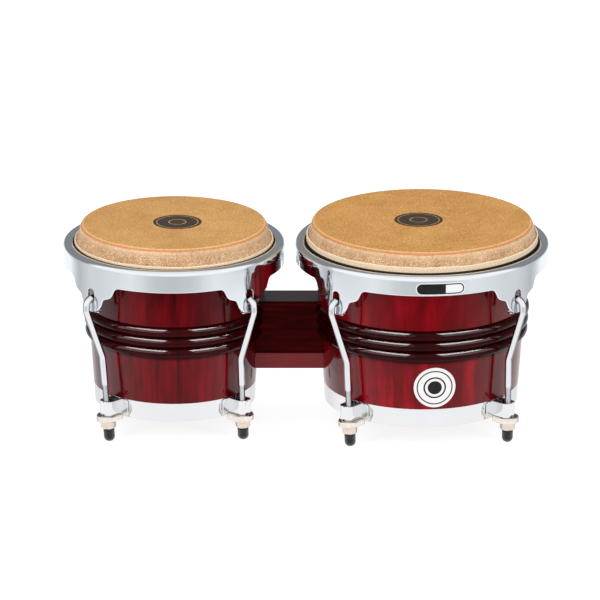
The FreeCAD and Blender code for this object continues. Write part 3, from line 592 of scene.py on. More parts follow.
def rim_body(drum):
    """The rim without its slots: turned-in top, wall, and a lower edge with four tabs."""
    outer, lip = drum.rim, drum.lip
    inner = outer - RIM_WALL
    top_z, shoulder = 174.0, 4.6
    lip_z = 172.85          # where the lip's rounding meets the top
    blend_z = 158.6         # below this the wall's rows bend towards the tabs' edge
    edge = 0.95             # rounding of the lower edge
    cols = 1440

    angles = np.linspace(0, 2 * math.pi, cols, endpoint=False)
    from_tab = (np.degrees(angles) - 45 - drum.lug_turn + 45) % 90 - 45
    x = outer * np.sin(np.radians(from_tab))
    tab_x, tab_z, tab_nx, tab_nz = tab_edge()
    edge_z = drum.skirt_z + np.interp(x, tab_x, tab_z, left=0.0, right=0.0)
    nx = np.interp(x, tab_x, tab_nx, left=0, right=0)
    nz = np.interp(x, tab_x, tab_nz, left=-1, right=-1)
    length = np.hypot(nx, nz)
    nx, nz = nx / length, nz / length

    rows = []               # radius, z, shift along the tangent

    def add_level(points):
        rows.extend((r, z, 0) for r, z in points)

    def add_wall(radius, shares):
        for k in shares:
            rows.append((radius, blend_z * (1 - k) + (edge_z - nz * edge) * k, -nx * edge * k))

    def add_edge(radius, inwards, degrees):
        for q in np.radians(degrees):
            gap = edge * (1 - math.sin(q))
            r = radius + inwards * edge * (1 - math.cos(q))
            rows.append((r, edge_z - nz * gap, -nx * gap))

    # top, from the lip outwards, and the outer wall down
    add_level(arc_points(lip + 0.62, 172.18, 0.62, 180, 100, 5))
    for k in (0.3, 0.6, 0.85):
        z = lip_z + (top_z - lip_z) * math.sin(k * math.pi / 2) ** 0.9
        add_level([(lip + 0.6 + (outer - shoulder - lip - 0.6) * k, z)])
    add_level(arc_points(outer - shoulder, top_z - shoulder, shoulder, 90, 0, 14))
    add_level((outer, z) for z in (166, 162.5, 160))
    add_wall(outer, np.linspace(0, 1, 15)[1:])
    # round the lower edge and up the inner wall
    add_edge(outer, -1, [22.5, 45, 67.5, 90])
    add_edge(inner, 1, [90, 67.5, 45, 22.5, 0])
    add_wall(inner, np.linspace(1, 0, 15)[1:])
    add_level((inner, z) for z in (160.5, 164, 167.5))
    add_level(arc_points(outer - shoulder, top_z - shoulder, shoulder - RIM_WALL, 0, 90, 8))
    add_level([((outer - shoulder) * 0.5 + (lip + 1.2) * 0.5, 170.9)])
    add_level(arc_points(lip + 0.6, 170.75, 0.55, 270, 180, 5))

    verts = []
    for r, z, shift in rows:
        turned = angles + np.where(np.abs(from_tab) < 30, shift, 0) / r
        verts.append(np.c_[r * np.cos(turned), r * np.sin(turned), z * np.ones(cols)])
    verts = np.concatenate(verts)
    verts[:, 0] += drum.x
    faces = grid_faces(len(rows), cols, wrap_rows=True)
    return outward(link(drum.name + "_tension_rim", verts, faces))


def make_rim(drum):
    ob = rim_body(drum)
    cutter = slot_cutter(drum)
    cut = ob.modifiers.new("slots", "BOOLEAN")
    cut.operation = "DIFFERENCE"
    cut.solver = "EXACT"
    cut.object = cutter
    depsgraph = bpy.context.evaluated_depsgraph_get()
    mesh = bpy.data.meshes.new_from_object(ob.evaluated_get(depsgraph))
    ob.modifiers.clear()
    ob.data = mesh
    bpy.data.objects.remove(cutter)
    mesh.polygons.foreach_set("use_smooth", [True] * len(mesh.polygons))
    return sharpen(ob, 42)


# ------------------------------------------------------------------ rawhide head
def head_profile(drum):
    """The skin's profile (radius, z), as three lists: upper side, flap, and way back beneath."""
    top, lip, head = drum.top, drum.lip, drum.head_z
    flat = top - drum.flat_inset
    crease = top + drum.crease_out
    valley = lip - 3.3      # where the collar meets the flap
    valley_z = drum.flap_z - 1.0
    inner, outer = lip - 3.05, lip - 1.5    # the flap's two sides
    thickness = 1.48

    upper = [(0, head)]
    upper += [(r, head) for r in np.linspace(6, flat - 2, 16)]
    upper += [(flat, head - 0.02), (flat + 1.2, head - 0.15), (flat + 2.2, head - 0.5),
              (flat + 3.0, head - 1.15), (top + 1.1, head - 2.1)]
    # out from the crease, below the playing surface
    upper += [(crease + out, head - drop) for out, drop in (
        (-0.72, 2.8), (-0.36, 3.5), (-0.08, 4.3), (0.08, 5.1), (-0.02, 5.9))]
    collar_z = head - 6.4
    upper += [(crease + (valley - crease) * (0.10 + 0.90 * w ** 1.15),
               collar_z + (valley_z + 0.1 - collar_z) * w) for w in np.linspace(0, 1, 9)[1:]]
    upper += [(valley + 0.12, valley_z - 0.7)]

    flap_z = drum.flap_z
    flap = [(inner + 0.02, valley_z - 0.6), (inner + 0.02, flap_z - 0.6),
            (inner + 0.25, flap_z - 0.12), ((inner + outer) / 2, flap_z),
            (outer - 0.25, flap_z - 0.15), (outer, flap_z - 0.7)]
    flap += [(outer + 0.05, z) for z in np.linspace(flap_z - 1.4, 172.2, drum.flap_steps)]
    flap += [(outer + 0.05, 171.4)]

    # round the flesh hoop and back, as radius, start and end in degrees, points
    back = []
    for arc in ((3.56, 138, 385, 26), (4.15, 385, 372, 3), (4.35, 365, 200, 20)):
        back += arc_points(lip + 2.2, 166.95, *arc)
    back += [(valley - 0.9, 171.3), (valley - 1.25, valley_z - 0.3)]
    high_z, low_z = valley_z + 0.5, head - 7.4
    back += [(crease - 1.2 + (valley - 1.15 - crease + 1.2) * w, low_z + (high_z - low_z) * w)
             for w in (0.8, 0.55, 0.3, 0.0)]
    back += [(top + 0.3, head - 5.6), (top + 0.25, head - 5.0), (top - 0.2, head - 3.75),
             (top - 1.6, head - 2.1)]
    back += [(top - 4.6, head - thickness)]
    back += [(top * w, head - thickness) for w in (0.9, 0.6, 0.3)]
    back += [(0, head - thickness)]
    return upper, flap, back


def wave(angles, frequencies, size, seed):
    """A sum of cosines round the drum with random sizes and phases."""
    rng = np.random.default_rng(seed)
    out = np.zeros_like(angles)
    for f in frequencies:
        out += rng.normal() * np.cos(f * angles + rng.uniform(0, 6.28)) / len(frequencies) ** 0.5
    return out * size


def make_skin(drum):
    """Rawhide head: flat playing area, rounded shoulder, creased collar, and the trimmed flap
    that stands inside the rim after passing round the flesh hoop."""
    upper, flap, back = head_profile(drum)
    profile = np.array(upper + flap + back)
    flap_start = len(upper)
    flap_end = flap_start + len(flap) - 1
    head, seed = drum.head_z, drum.wave_seed
    flat = drum.top - drum.flat_inset

    def shape(radii, heights, angles):
        r, z = profile[:, 0][:, None], profile[:, 1][:, None]
        row = np.arange(len(profile))[:, None]
        # collar and crease wander a little
        collar = np.exp(-((z - (head - 7.5)) / 3.4) ** 2) * (row < flap_start)
        heights = heights + collar * wave(angles, (3, 5, 8, 13, 21), 0.26, seed + 10)
        radii = radii + collar * wave(angles, (7, 16, 31, 47), 0.15, seed + 20)
        # the flap's cut edge
        cut = ((row >= flap_start) & (row < flap_end)) * np.clip(
            (z - (drum.flap_z - 2.2)) / 1.4, 0, 1)
        heights = heights + cut * (wave(angles, (4, 9, 17), 0.22, seed + 30)
                                   + wave(angles, (61, 97, 143, 211), 0.10, seed + 40))
        radii = radii + cut * wave(angles, (6, 11, 83, 131), 0.08, seed + 50)
        # very shallow waviness of the playing area
        playing = ((r < flat) & (z > head - 0.1)) * (r / flat) ** 2
        heights = heights - playing * np.abs(wave(angles, (2, 3, 5), 0.05, seed + 60))
        return radii, heights

    ob, rows = lathe(drum.name + "_rawhide_head", profile, 1080, drum.x, shape)
    outward(ob)
    # for the hide material: 0 upper side, 1 flap, 2 beneath
    part = np.zeros(len(rows))
    part[rows >= flap_start] = 1.0
    part[rows > flap_end] = 2.0
    attribute = ob.data.attributes.new("hide_part", "FLOAT", "POINT")
    attribute.data.foreach_set("value", part.astype(np.float32))
    return ob


# ------------------------------------------------------------------ node helpers
class Nodes:
    """Short ways to add nodes to a tree. Values may be numbers or output sockets."""

    def __init__(self, tree):
        self.tree = tree
        tree.nodes.clear()

    def new(self, kind, **settings):
        node = self.tree.nodes.new("ShaderNode" + kind)
        for name, value in settings.items():
            setattr(node, name, value)
        return node

    def put(self, socket, value):
        if isinstance(value, bpy.types.NodeSocket):
            self.tree.links.new(value, socket)
        else:
            socket.default_value = value

    def math(self, operation, *values, clamp=False):
        node = self.new("Math", operation=operation, use_clamp=clamp)
        for socket, value in zip(node.inputs, values):
            self.put(socket, value)
        return node.outputs[0]

    def add(self, a, b, clamp=False):
        return self.math("ADD", a, b, clamp=clamp)

    def sub(self, a, b, clamp=False):
        return self.math("SUBTRACT", a, b, clamp=clamp)

    def mul(self, a, b, clamp=False):
        return self.math("MULTIPLY", a, b, clamp=clamp)

    def invert(self, value):
        return self.sub(1.0, value)

    def weigh(self, first, second):
        """Sum of two (value, weight) pairs."""
        return self.add(self.mul(*first), self.mul(*second))

    def length(self, *parts):
        """Length of the vector with these parts."""
        squares = [self.mul(part, part) for part in parts]
        total = squares.pop()
        while squares:
            total = self.add(squares.pop(), total)
        return self.math("SQRT", total)

    def xyz(self, vector):
        node = self.new("SeparateXYZ")
        self.put(node.inputs[0], vector)
        return node.outputs

    def vec(self, x, y, z):
        node = self.new("CombineXYZ")
        for socket, value in zip(node.inputs, (x, y, z)):
            self.put(socket, value)
        return node.outputs[0]

    def ramp(self, value, stops, kind="LINEAR"):
        """Colour ramp from (position, grey or colour) stops."""
        node = self.new("ValToRGB")
        node.color_ramp.interpolation = kind
        elements = node.color_ramp.elements
        while len(elements) > 1:
            elements.remove(elements[-1])
        for i, (position, colour) in enumerate(stops):
            if not isinstance(colour, tuple):
                colour = (colour,) * 3
            element = elements[0] if i == 0 else elements.new(position)
            element.position = position
            element.color = (*colour, 1)
        self.put(node.inputs[0], value)
        return node.outputs[0]

    def fade(self, value, between, values=(0, 1)):
        return self.ramp(value, list(zip(between, values)))

    def mix(self, factor, a, b, mode="MIX"):
        node = self.new("Mix", data_type="RGBA", blend_type=mode)
        self.put(node.inputs["Factor"], factor)
        for socket, value in ((node.inputs[6], a), (node.inputs[7], b)):
            self.put(socket, (*value, 1) if isinstance(value, tuple) else value)
        return node.outputs[2]

    def tint(self, colour, by):
        return self.mix(1.0, colour, by, "MULTIPLY")

    def layer(self, colour, mask, paint, strength):
        """Lays paint over colour where mask is 1."""
        return self.mix(self.mul(mask, strength), colour, paint)

    def remap(self, value, low, high, kind="LINEAR"):
        """0 at low, 1 at high."""
        node = self.new("MapRange", interpolation_type=kind)
        node.inputs["From Min"].default_value = low
        node.inputs["From Max"].default_value = high
        self.put(node.inputs["Value"], value)
        return node.outputs["Result"]

    def step(self, value, edge, width):
        """0 below edge, 1 above it, smooth over width."""
        return self.remap(value, edge - width / 2, edge + width / 2, "SMOOTHSTEP")

    def below(self, value, edge, width):
        return self.invert(self.step(value, edge, width))

    def band(self, value, start, end):
        """1 between two edges, each given as (edge, width)."""
        return self.sub(self.step(value, *start), self.step(value, *end))

    def mix_by_ray(self, ray, otherwise, when_ray):
        """One shader for this kind of ray and another for the rest."""
        node = self.new("MixShader")
        self.put(node.inputs[0], self.new("LightPath").outputs[ray])
        self.put(node.inputs[1], otherwise)
        self.put(node.inputs[2], when_ray)
        return node.outputs[0]


class Material(Nodes):
    """Nodes of a new material round one Principled BSDF."""

    def __init__(self, name):
        self.mat = bpy.data.materials.new(name)
        self.mat.use_nodes = True
        super().__init__(self.mat.node_tree)
        self.out = self.new("OutputMaterial")
        self.bsdf = self.new("BsdfPrincipled")
        self.put(self.out.inputs[0], self.bsdf.outputs[0])
        self.coord = self.new("TexCoord").outputs["Object"]

    def set(self, **inputs):
        for name, value in inputs.items():
            self.put(self.bsdf.inputs[name.replace("_", " ")], value)

    def xyz(self, vector=None):
        return super().xyz(vector or self.coord)

    def noise(self, scale, vector=None, detail=2.0, rough=0.5, distort=0.0):
        node = self.new("TexNoise")
        node.inputs["Scale"].default_value = scale
        node.inputs["Detail"].default_value = detail
        node.inputs["Roughness"].default_value = rough
        node.inputs["Distortion"].default_value = distort
        self.put(node.inputs["Vector"], vector or self.coord)
        return node.outputs["Fac"]

    def voronoi(self, scale):
        node = self.new("TexVoronoi")
        node.inputs["Scale"].default_value = scale
        self.put(node.inputs["Vector"], self.coord)
        return node.outputs["Distance"]

    def white(self, value):
        node = self.new("TexWhiteNoise", noise_dimensions="1D")
        self.put(node.inputs["W"], value)
        return node.outputs["Value"]

    def attribute(self, name):
        return self.new("Attribute", attribute_name=name).outputs["Fac"]

    def facing(self, stops):
        """Ramp over how far the surface turns away: 0 square on to the viewer, 1 edge on."""
        node = self.new("LayerWeight")
        node.inputs["Blend"].default_value = 0.5
        return self.ramp(node.outputs["Facing"], stops)

    def bump(self, height, strength, distance, normal=None):
        node = self.new("Bump")
        node.inputs["Strength"].default_value = strength
        node.inputs["Distance"].default_value = distance
        self.put(node.inputs["Height"], height)
        if normal is not None:
            self.put(node.inputs["Normal"], normal)
        return node.outputs[0]

    def bevel(self, radius):
        node = self.new("Bevel", samples=4)
        node.inputs["Radius"].default_value = radius
        return node.outputs[0]

    def drum_coords(self):
        """x from the nearest drum's axis, y, z, and side: -1 small drum, 1 large drum."""
        x, y, z = self.xyz()
        from_middle = self.sub(x, MIDDLE_X)
        side = self.math("SIGN", from_middle)
        return self.sub(from_middle, self.mul(side, HALF_PITCH)), y, z, side


def srgb(*levels):
    """Linear colour from 0..255 sRGB levels."""
    shares = [level / 255 for level in levels]
    return tuple(c / 12.92 if c <= 0.04045 else ((c + 0.055) / 1.055) ** 2.4 for c in shares)


def dim(colour, share):
    return tuple(c * share for c in colour)


# ------------------------------------------------------------------ materials
# All lengths in materials are metres.
def stained_wood(name, deep, flame, staves=True, gloss=0.07, spec=0.045, upper=1.0, smoky=0.60):
    """Stained stave wood under gloss lacquer: upright grain, slow flame figure, faint glue lines.

    upper scales the colour of the shell's upper part, a painted shade under the rim's overhang;
    smoky is the dark figure's strength.
    """
    n = Material(name)
    x, y, z, side = n.drum_coords()
    angle = n.math("ARCTAN2", y, x)
    stave_count = 18.0
    turn = n.add(n.mul(angle, stave_count / (2 * math.pi)), 0.37)
    stave = n.math("FLOOR", turn)
    tone = n.white(n.add(stave, n.mul(side, 37.0)))     # random for each stave of each drum
    offset = n.mul(tone, 3.0)                           # moves the figure from stave to stave
    arc = n.mul(angle, 0.09)                            # metres along the wall, near enough

    # figure, stretched upright by scaling z down
    fibre = n.noise(vector=n.vec(x, y, n.mul(n.add(z, offset), 0.03)),
                    scale=760, detail=3, rough=0.6)
    grain = n.noise(vector=n.vec(n.mul(x, 1.0), n.add(y, offset), n.mul(z, 0.06)),
                    scale=95, detail=4, rough=0.6, distort=0.25)
    tongues = n.noise(vector=n.vec(arc, offset, n.mul(z, 0.30)),
                      scale=26, detail=3, distort=1.2)
    smoke = n.noise(vector=n.vec(arc, n.add(offset, 4.0), n.mul(z, 0.45)),
                    scale=19, detail=4, rough=0.55, distort=0.9)
    ripple = n.noise(vector=n.vec(n.mul(arc, 0.5), offset, z), scale=120, distort=0.8)
    pores = n.noise(vector=n.vec(x, y, n.mul(z, 0.05)), scale=2300, detail=1, rough=0.4)

    figure = n.weigh((n.fade(grain, between=(0.30, 0.70)), 0.42),
                     (n.fade(tongues, between=(0.28, 0.74)), 0.58))
    stave_light = n.add(0.80, n.mul(tone, 0.35))
    figure = n.mul(figure, stave_light, clamp=True)
    col = n.ramp(figure, [(0.0, dim(deep, 0.62)), (0.38, deep), (1.0, flame)])
    for pattern, between, strength, paint in (
            (smoke, (0.52, 0.76), smoky, dim(deep, 0.32)),
            (ripple, (0.50, 0.70), 0.05, flame),
            (fibre, (0.45, 0.72), 0.34, dim(deep, 0.5)),
            (pores, (0.62, 0.72), 0.30, dim(deep, 0.3))):
        col = n.layer(col, n.fade(pattern, between), paint, strength)
    level = spec
    if staves:
        # glue lines
        seam = n.math("ABSOLUTE", n.sub(n.sub(turn, stave), 0.5))
        line = n.step(seam, edge=0.4955, width=0.006)
        col = n.layer(col, line, dim(deep, 0.25), strength=0.45)
        # upper part's painted shade, under the rim's overhang, and a painted shadow band round the
        # wall
        shade = n.add(1.0, n.mul(n.step(z, edge=0.112, width=0.010), upper - 1.0))
        # painted shadow just under the lowest ring
        ring_shadow_start = n.step(n.sub(z, n.mul(side, 0.0007)), edge=0.0831, width=0.0018)
        dark = n.sub(ring_shadow_start, n.step(z, edge=0.0880, width=0.001))
        shade = n.mul(shade, n.invert(n.mul(dark, 0.72)))
        col = n.tint(col, n.vec(shade, shade, shade))
        # the lower part and surfaces turned away shine more
        level = n.add(spec, n.mul(n.below(z, edge=0.083, width=0.008), 0.10))
        level = n.add(level, n.facing([(0.06, 0), (0.16, 0.10), (0.38, 0.36), (1.0, 0.36)]))
    # painted shade: the colour darkens on surfaces turned away from the camera
    away = n.facing([(0.0, 1.0), (0.26, 1.0), (0.52, 0.58), (1.0, 0.42)])
    wear = n.fade(n.noise(scale=160, detail=3), between=(0.4, 0.75))
    n.set(Base_Color=n.tint(col, away), IOR=1.5, Specular_IOR_Level=level,
          Roughness=n.add(gloss, n.mul(wear, 0.05 if staves else 0.02)),
          Normal=n.bump(n.weigh((grain, 0.8), (fibre, 0.12)), strength=0.035, distance=0.00012))
    return n.mat


def dark_block_wood(name):
    """Very dark red wood with its grain along x, and a painted reflection of the floor that makes
    the foot paler.
    """
    n = Material(name)
    x, y, z = n.xyz()
    grain = n.noise(vector=n.vec(n.mul(x, 0.07), y, z),
                    scale=420, detail=4, rough=0.6, distort=0.5)
    broad = n.noise(vector=n.vec(n.mul(x, 0.12), n.mul(y, 1.0), z), scale=110, distort=0.9)
    figure = n.weigh((n.fade(grain, between=(0.35, 0.7)), 0.5),
                     (n.fade(broad, between=(0.35, 0.7)), 0.5))
    col = n.ramp(figure, [(0.0, (0.014, 0.0004, 0.0006)), (0.5, (0.034, 0.0008, 0.0012)),
                          (1.0, (0.085, 0.0022, 0.0035))])
    # painted reflection of the floor: a paler strip along the foot
    foot = n.below(z, edge=0.0691, width=0.0008)
    col = n.layer(col, foot, (0.178, 0.008, 0.014), strength=0.80)
    away = n.facing([(0.0, 0.02), (0.40, 0.02), (0.66, 0.42), (1.0, 0.42)])
    n.set(Base_Color=col, Roughness=n.add(0.2, n.mul(grain, 0.12)), IOR=1.5,
          Specular_IOR_Level=n.add(away, n.mul(foot, 0.30)),
          Specular_Tint=(1.0, 0.80, 0.70, 1.0),
          Normal=n.bump(grain, strength=0.04, distance=0.00015))
    return n.mat


def chrome(name, tint=(0.81, 0.815, 0.812), rough=0.055, bevel=0.0, outline=None):
    """Polished chrome, faintly cloudy and scratched. outline darkens surfaces turned away, a
    painted shade for dark reflections at the edges.
    """
    n = Material(name)
    cloud = n.noise(scale=24, detail=3)
    fine = n.noise(scale=900)
    x, y, z = n.xyz()
    scratch = n.noise(vector=n.vec(n.mul(x, 0.25), y, n.mul(z, 5.0)), scale=1500, detail=1)
    col = n.mix(n.fade(cloud, between=(0.3, 0.7)), tint, tuple(min(1, c * 1.06) for c in tint))
    # painted shade on surfaces turned away
    if outline:
        away = n.facing(outline)
        col = n.tint(col, n.vec(away, away, n.mul(away, 1.02)))
    scratched = n.add(rough, n.mul(n.fade(scratch, between=(0.55, 0.75)), 0.05))
    clouded = n.mul(n.fade(cloud, between=(0.5, 0.8)), 0.03)
    n.set(Base_Color=col, Metallic=1.0, Roughness=n.add(scratched, clouded),
          Normal=n.bump(n.weigh((cloud, 1.0), (fine, 0.03)), strength=0.05, distance=0.0006,
                        normal=n.bevel(bevel) if bevel else None))
    return n.mat


def nickel(name, tint=(0.93, 0.865, 0.80), rough=0.14, dark_top_z=None):
    """Warm nickel with dull patches, painted shade on surfaces turned away, and a darker band
    above dark_top_z.
    """
    n = Material(name)
    cloud = n.noise(scale=210, detail=3)
    fine = n.noise(scale=2600)
    col = n.mix(n.fade(cloud, between=(0.35, 0.7)), tint, dim(tint, 0.86))
    patches = n.fade(n.noise(scale=520), between=(0.62, 0.8))
    col = n.layer(col, patches, (0.42, 0.37, 0.32), strength=0.35)
    # painted shade: darker on surfaces turned away, for dark facet edges
    away = n.facing([(0.0, 1.0), (0.42, 1.0), (0.62, 0.62), (0.82, 0.22), (1.0, 0.16)])
    col = n.tint(col, n.vec(away, n.mul(away, 0.99), n.mul(away, 0.97)))
    # a darker band at the nut's top, where it meets the plate
    if dark_top_z:
        joint = n.step(n.xyz()[2], edge=dark_top_z, width=0.0004)
        col = n.layer(col, joint, (0.10, 0.08, 0.065), strength=0.8)
    n.set(Base_Color=col, Metallic=1.0, Roughness=n.add(rough, n.mul(cloud, 0.12)),
          Normal=n.bump(fine, strength=0.12, distance=0.00006, normal=n.bevel(0.0004)))
    return n.mat


def printed_discs(n, fine):
    """Mask of the print on both heads: a disc with a thin ring and an inner ring left open."""
    inward = 0.0033         # disc centres, from the drums' axes towards each other
    disc_edge, blur = 0.02225, 0.0003
    ring, core = (0.0186, 0.0193), (0.0074, 0.0082)
    wobble = 0.00035        # unevenness of the edges
    prints = None
    for drum, way in ((SMALL, 1), (LARGE, -1)):
        x, y, _ = n.xyz()
        radius = n.length(n.sub(x, drum.x * MM + way * inward), y)
        radius = n.add(radius, n.mul(n.sub(fine, 0.5), wobble))
        disc = n.below(radius, disc_edge, blur)
        gaps = [n.band(radius, (start, blur), (end, blur)) for start, end in (ring, core)]
        mask = n.mul(disc, n.invert(n.add(*gaps, clamp=True)))
        prints = mask if prints is None else n.add(prints, mask, clamp=True)
    return prints


def hide(name):
    """Natural hide: mottled honey tone, fine pores; paler and striated on collar and flap."""
    n = Material(name)
    x, y, z, side = n.drum_coords()
    part = n.attribute("hide_part")
    big = n.noise(scale=11, detail=4, rough=0.6, distort=0.6)
    mid = n.noise(scale=55, detail=4, rough=0.6, distort=0.3)
    fine = n.noise(scale=420, detail=3, rough=0.6)
    pore = n.voronoi(scale=620)
    grit = n.noise(scale=1100, rough=0.7)
    mottle = n.add(n.weigh((big, 0.26), (grit, 0.24)), n.weigh((mid, 0.24), (fine, 0.26)))

    # playing area, each drum with its own tint
    top = n.ramp(mottle, [(0.39, srgb(182, 128, 70)), (0.47, srgb(201, 149, 88)),
                          (0.53, srgb(211, 160, 98)), (0.62, srgb(227, 181, 120))])
    is_large = n.math("MULTIPLY_ADD", side, 0.5, 0.5)
    top = n.tint(top, n.mix(is_large, (0.937, 0.932, 0.860), (0.917, 0.845, 0.648)))
    grain = n.noise(scale=610, detail=1)
    spots = n.noise(scale=420, detail=3, rough=0.7)
    for pattern, between, values, strength, paint in (
            (grain, (0.36, 0.50), (1, 0), 0.46, srgb(172, 116, 58)),
            (grain, (0.52, 0.66), (0, 1), 0.50, srgb(236, 192, 130)),
            (spots, (0.56, 0.70), (0, 1), 0.28, srgb(168, 112, 60)),
            (pore, (0.0, 0.16), (1, 0), 0.30, srgb(150, 100, 54))):
        top = n.layer(top, n.fade(pattern, between, values), paint, strength)

    # shoulder and collar, by depth below the playing surface
    small_z, large_z = SMALL.head_z * MM, LARGE.head_z * MM
    surface = n.add((small_z + large_z) / 2, n.mul(side, (large_z - small_z) / 2))
    wobble = n.mul(n.sub(n.noise(scale=70, detail=3, rough=0.6), 0.5), 0.0011)
    even_depth = n.sub(surface, z)
    depth = n.add(even_depth, wobble)
    on_top = n.below(depth, edge=0.0024, width=0.0012)
    speck = n.noise(scale=950, rough=0.7)
    collar_mottle = n.weigh((mottle, 0.62), (speck, 0.38))
    collar = n.ramp(collar_mottle, [(0.41, srgb(150, 106, 66)), (0.47, srgb(194, 149, 106)),
                                    (0.53, srgb(216, 176, 134)), (0.585, srgb(246, 220, 184))])
    col = n.mix(n.invert(on_top), top, collar)
    # painted highlight: a pale line along the edge of the playing surface
    edge = n.band(even_depth, (0.00024, 0.00022), (0.0009, 0.0006))
    col = n.layer(col, edge, srgb(244, 200, 140), strength=0.55)
    strip = n.band(depth, (0.0009, 0.0007), (0.0027, 0.0007))
    strip = n.mul(strip, n.fade(mid, between=(0.40, 0.58), values=(0.45, 1.0)))
    col = n.layer(col, strip, srgb(214, 138, 98), strength=0.85)
    crease = n.band(depth, (0.0027, 0.0007), (0.0058, 0.0012))
    crease = n.mul(crease, n.fade(collar_mottle, between=(0.42, 0.58), values=(0.35, 1.0)))
    col = n.layer(col, crease, srgb(240, 204, 164), strength=0.80)
    under = n.band(depth, (0.0056, 0.0012), (0.0075, 0.0016))
    col = n.layer(col, under, srgb(222, 182, 146), strength=0.45)

    # the flap: cream with fine upright lines and a shaded foot
    angle = n.math("ARCTAN2", y, x)
    lines = n.noise(vector=n.vec(n.mul(angle, 1.0), 0.0, n.mul(z, 8.0)),
                    scale=95, detail=3, rough=0.7)
    flap = n.ramp(lines, [(0.34, srgb(214, 182, 146)), (0.5, srgb(246, 220, 188)),
                          (0.66, srgb(255, 242, 218))])
    is_flap = n.math("COMPARE", part, 1.0, 0.5)
    above_foot = n.sub(z, n.add(0.1737, n.mul(side, 0.0008)))
    flap = n.mix(n.below(above_foot, edge=0.0, width=0.0008), flap, (0.030, 0.026, 0.022))
    col = n.mix(is_flap, col, flap)

    # worn print on the playing area
    prints = printed_discs(n, fine)
    flat_only = n.below(n.sub(surface, z), edge=0.0006, width=0.0004)
    worn = n.fade(n.noise(scale=900, detail=3, rough=0.7), between=(0.62, 0.72))
    ink = n.mul(n.mul(prints, flat_only), n.invert(n.mul(worn, 0.55)))
    col = n.layer(col, ink, srgb(47, 43, 38), strength=0.97)
    col = n.tint(col, (0.74, 0.74, 0.74))

    # pores on top, upright streaks on the collar and flap
    top_relief = n.add(n.mul(fine, 0.5), n.weigh((mid, 0.8), (pore, 0.35)))
    streak = n.noise(vector=n.vec(n.mul(angle, 1.0), 0.0, n.mul(z, 3.0)),
                     scale=60, detail=3, rough=0.65)
    low_relief = n.add(n.mul(streak, 2.2), n.add(fine, n.mul(lines, 1.0)))
    relief = n.weigh((top_relief, on_top), (low_relief, n.invert(on_top)))
    rough = n.add(0.46, n.mul(mottle, 0.18))
    n.set(Base_Color=col, IOR=1.4, Specular_IOR_Level=0.3,
          Roughness=n.sub(rough, n.mul(ink, 0.08)),     # ink is a little glossier
          Normal=n.bump(relief, strength=0.28, distance=0.00035))
    return n.mat


def rubber(name):
    """Black rubber with dust, most of it at the floor."""
    n = Material(name)
    fine = n.noise(scale=1900, detail=3, rough=0.6)
    dust = n.noise(scale=170, detail=4, rough=0.7)
    col = n.layer((0.004, 0.004, 0.005), n.fade(dust, between=(0.52, 0.8)),
                  (0.020, 0.0195, 0.0195), strength=0.5)
    foot = n.below(n.xyz()[2], edge=0.0022, width=0.003)
    dusty_foot = n.mul(foot, n.fade(dust, between=(0.3, 0.7), values=(0.2, 0.8)))
    n.set(Base_Color=n.mix(dusty_foot, col, (0.035, 0.034, 0.032)), IOR=1.5,
          Roughness=n.add(0.20, n.mul(dust, 0.20)),
          Specular_IOR_Level=n.facing([(0.0, 0.30), (0.12, 0.45), (0.42, 1.0), (1.0, 1.0)]),
          Normal=n.bump(fine, strength=0.25, distance=0.00008))
    return n.mat


def satin_metal(name, tint, rough):
    n = Material(name)
    cloud = n.noise(scale=300, detail=4, rough=0.6)
    x, y, z = n.xyz()
    drawn = n.noise(vector=n.vec(x, y, n.mul(z, 14.0)), scale=500)
    n.set(Base_Color=n.mix(n.fade(cloud, between=(0.35, 0.7)), tint, dim(tint, 0.78)),
          Metallic=1.0, Roughness=n.add(rough, n.mul(cloud, 0.15)),
          Normal=n.bump(n.add(drawn, cloud), strength=0.10, distance=0.00008,
                        normal=n.bevel(0.0003)))
    return n.mat


def badge_face(name):
    """Glossy enamel: concentric rings on the round badge, a framed field on the rim's label."""
    n = Material(name)
    dark, pale = srgb(24, 21, 23), srgb(210, 210, 209)
    badge_radius = 0.0194
    blur = 0.0003
    x, y, z = n.xyz()
    low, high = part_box("large_badge")
    centre = (low + high) / 2
    radius = n.length(n.sub(x, centre.x), n.sub(y, centre.y), n.sub(z, centre.z))
    rings = n.ramp(n.math("DIVIDE", radius, badge_radius), [
        (0.0, dark), (0.335, dark), (0.35, pale), (0.455, pale), (0.468, dark), (0.530, dark),
        (0.543, pale), (0.785, pale), (0.798, dark), (0.843, dark), (0.856, pale), (1.0, pale)])

    # the long label: pale ground, a dark round-ended field, and a pale pane at its -x part
    low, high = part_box("large_rim_label")
    centre = (low + high) / 2
    half_long, half_tall = (high.x - low.x) / 2 - 0.0009, 0.0049
    border = 0.0011
    along, up = n.sub(x, centre.x), n.sub(z, centre.z)
    past_end = n.math(
        "MAXIMUM", n.sub(n.math("ABSOLUTE", along), half_long - half_tall), 0.0)
    from_spine = n.length(past_end, up)
    field = n.below(from_spine, half_tall, blur)
    pane = n.mul(n.below(from_spine, half_tall - border, blur),
                 n.step(along, half_long - 0.0165, blur))
    label = n.mix(n.sub(field, pane, clamp=True), pale, dark)

    is_label = n.step(z, edge=0.12, width=0.01)
    speck = n.noise(scale=1500)
    col = n.layer(n.mix(is_label, rings, label), n.fade(speck, between=(0.55, 0.8)),
                  (0.3, 0.3, 0.3), strength=0.12)
    n.set(Base_Color=col, Roughness=n.add(0.16, n.mul(speck, 0.08)), Specular_IOR_Level=0.16,
          Normal=n.bump(speck, strength=0.05, distance=0.00005))
    return n.mat


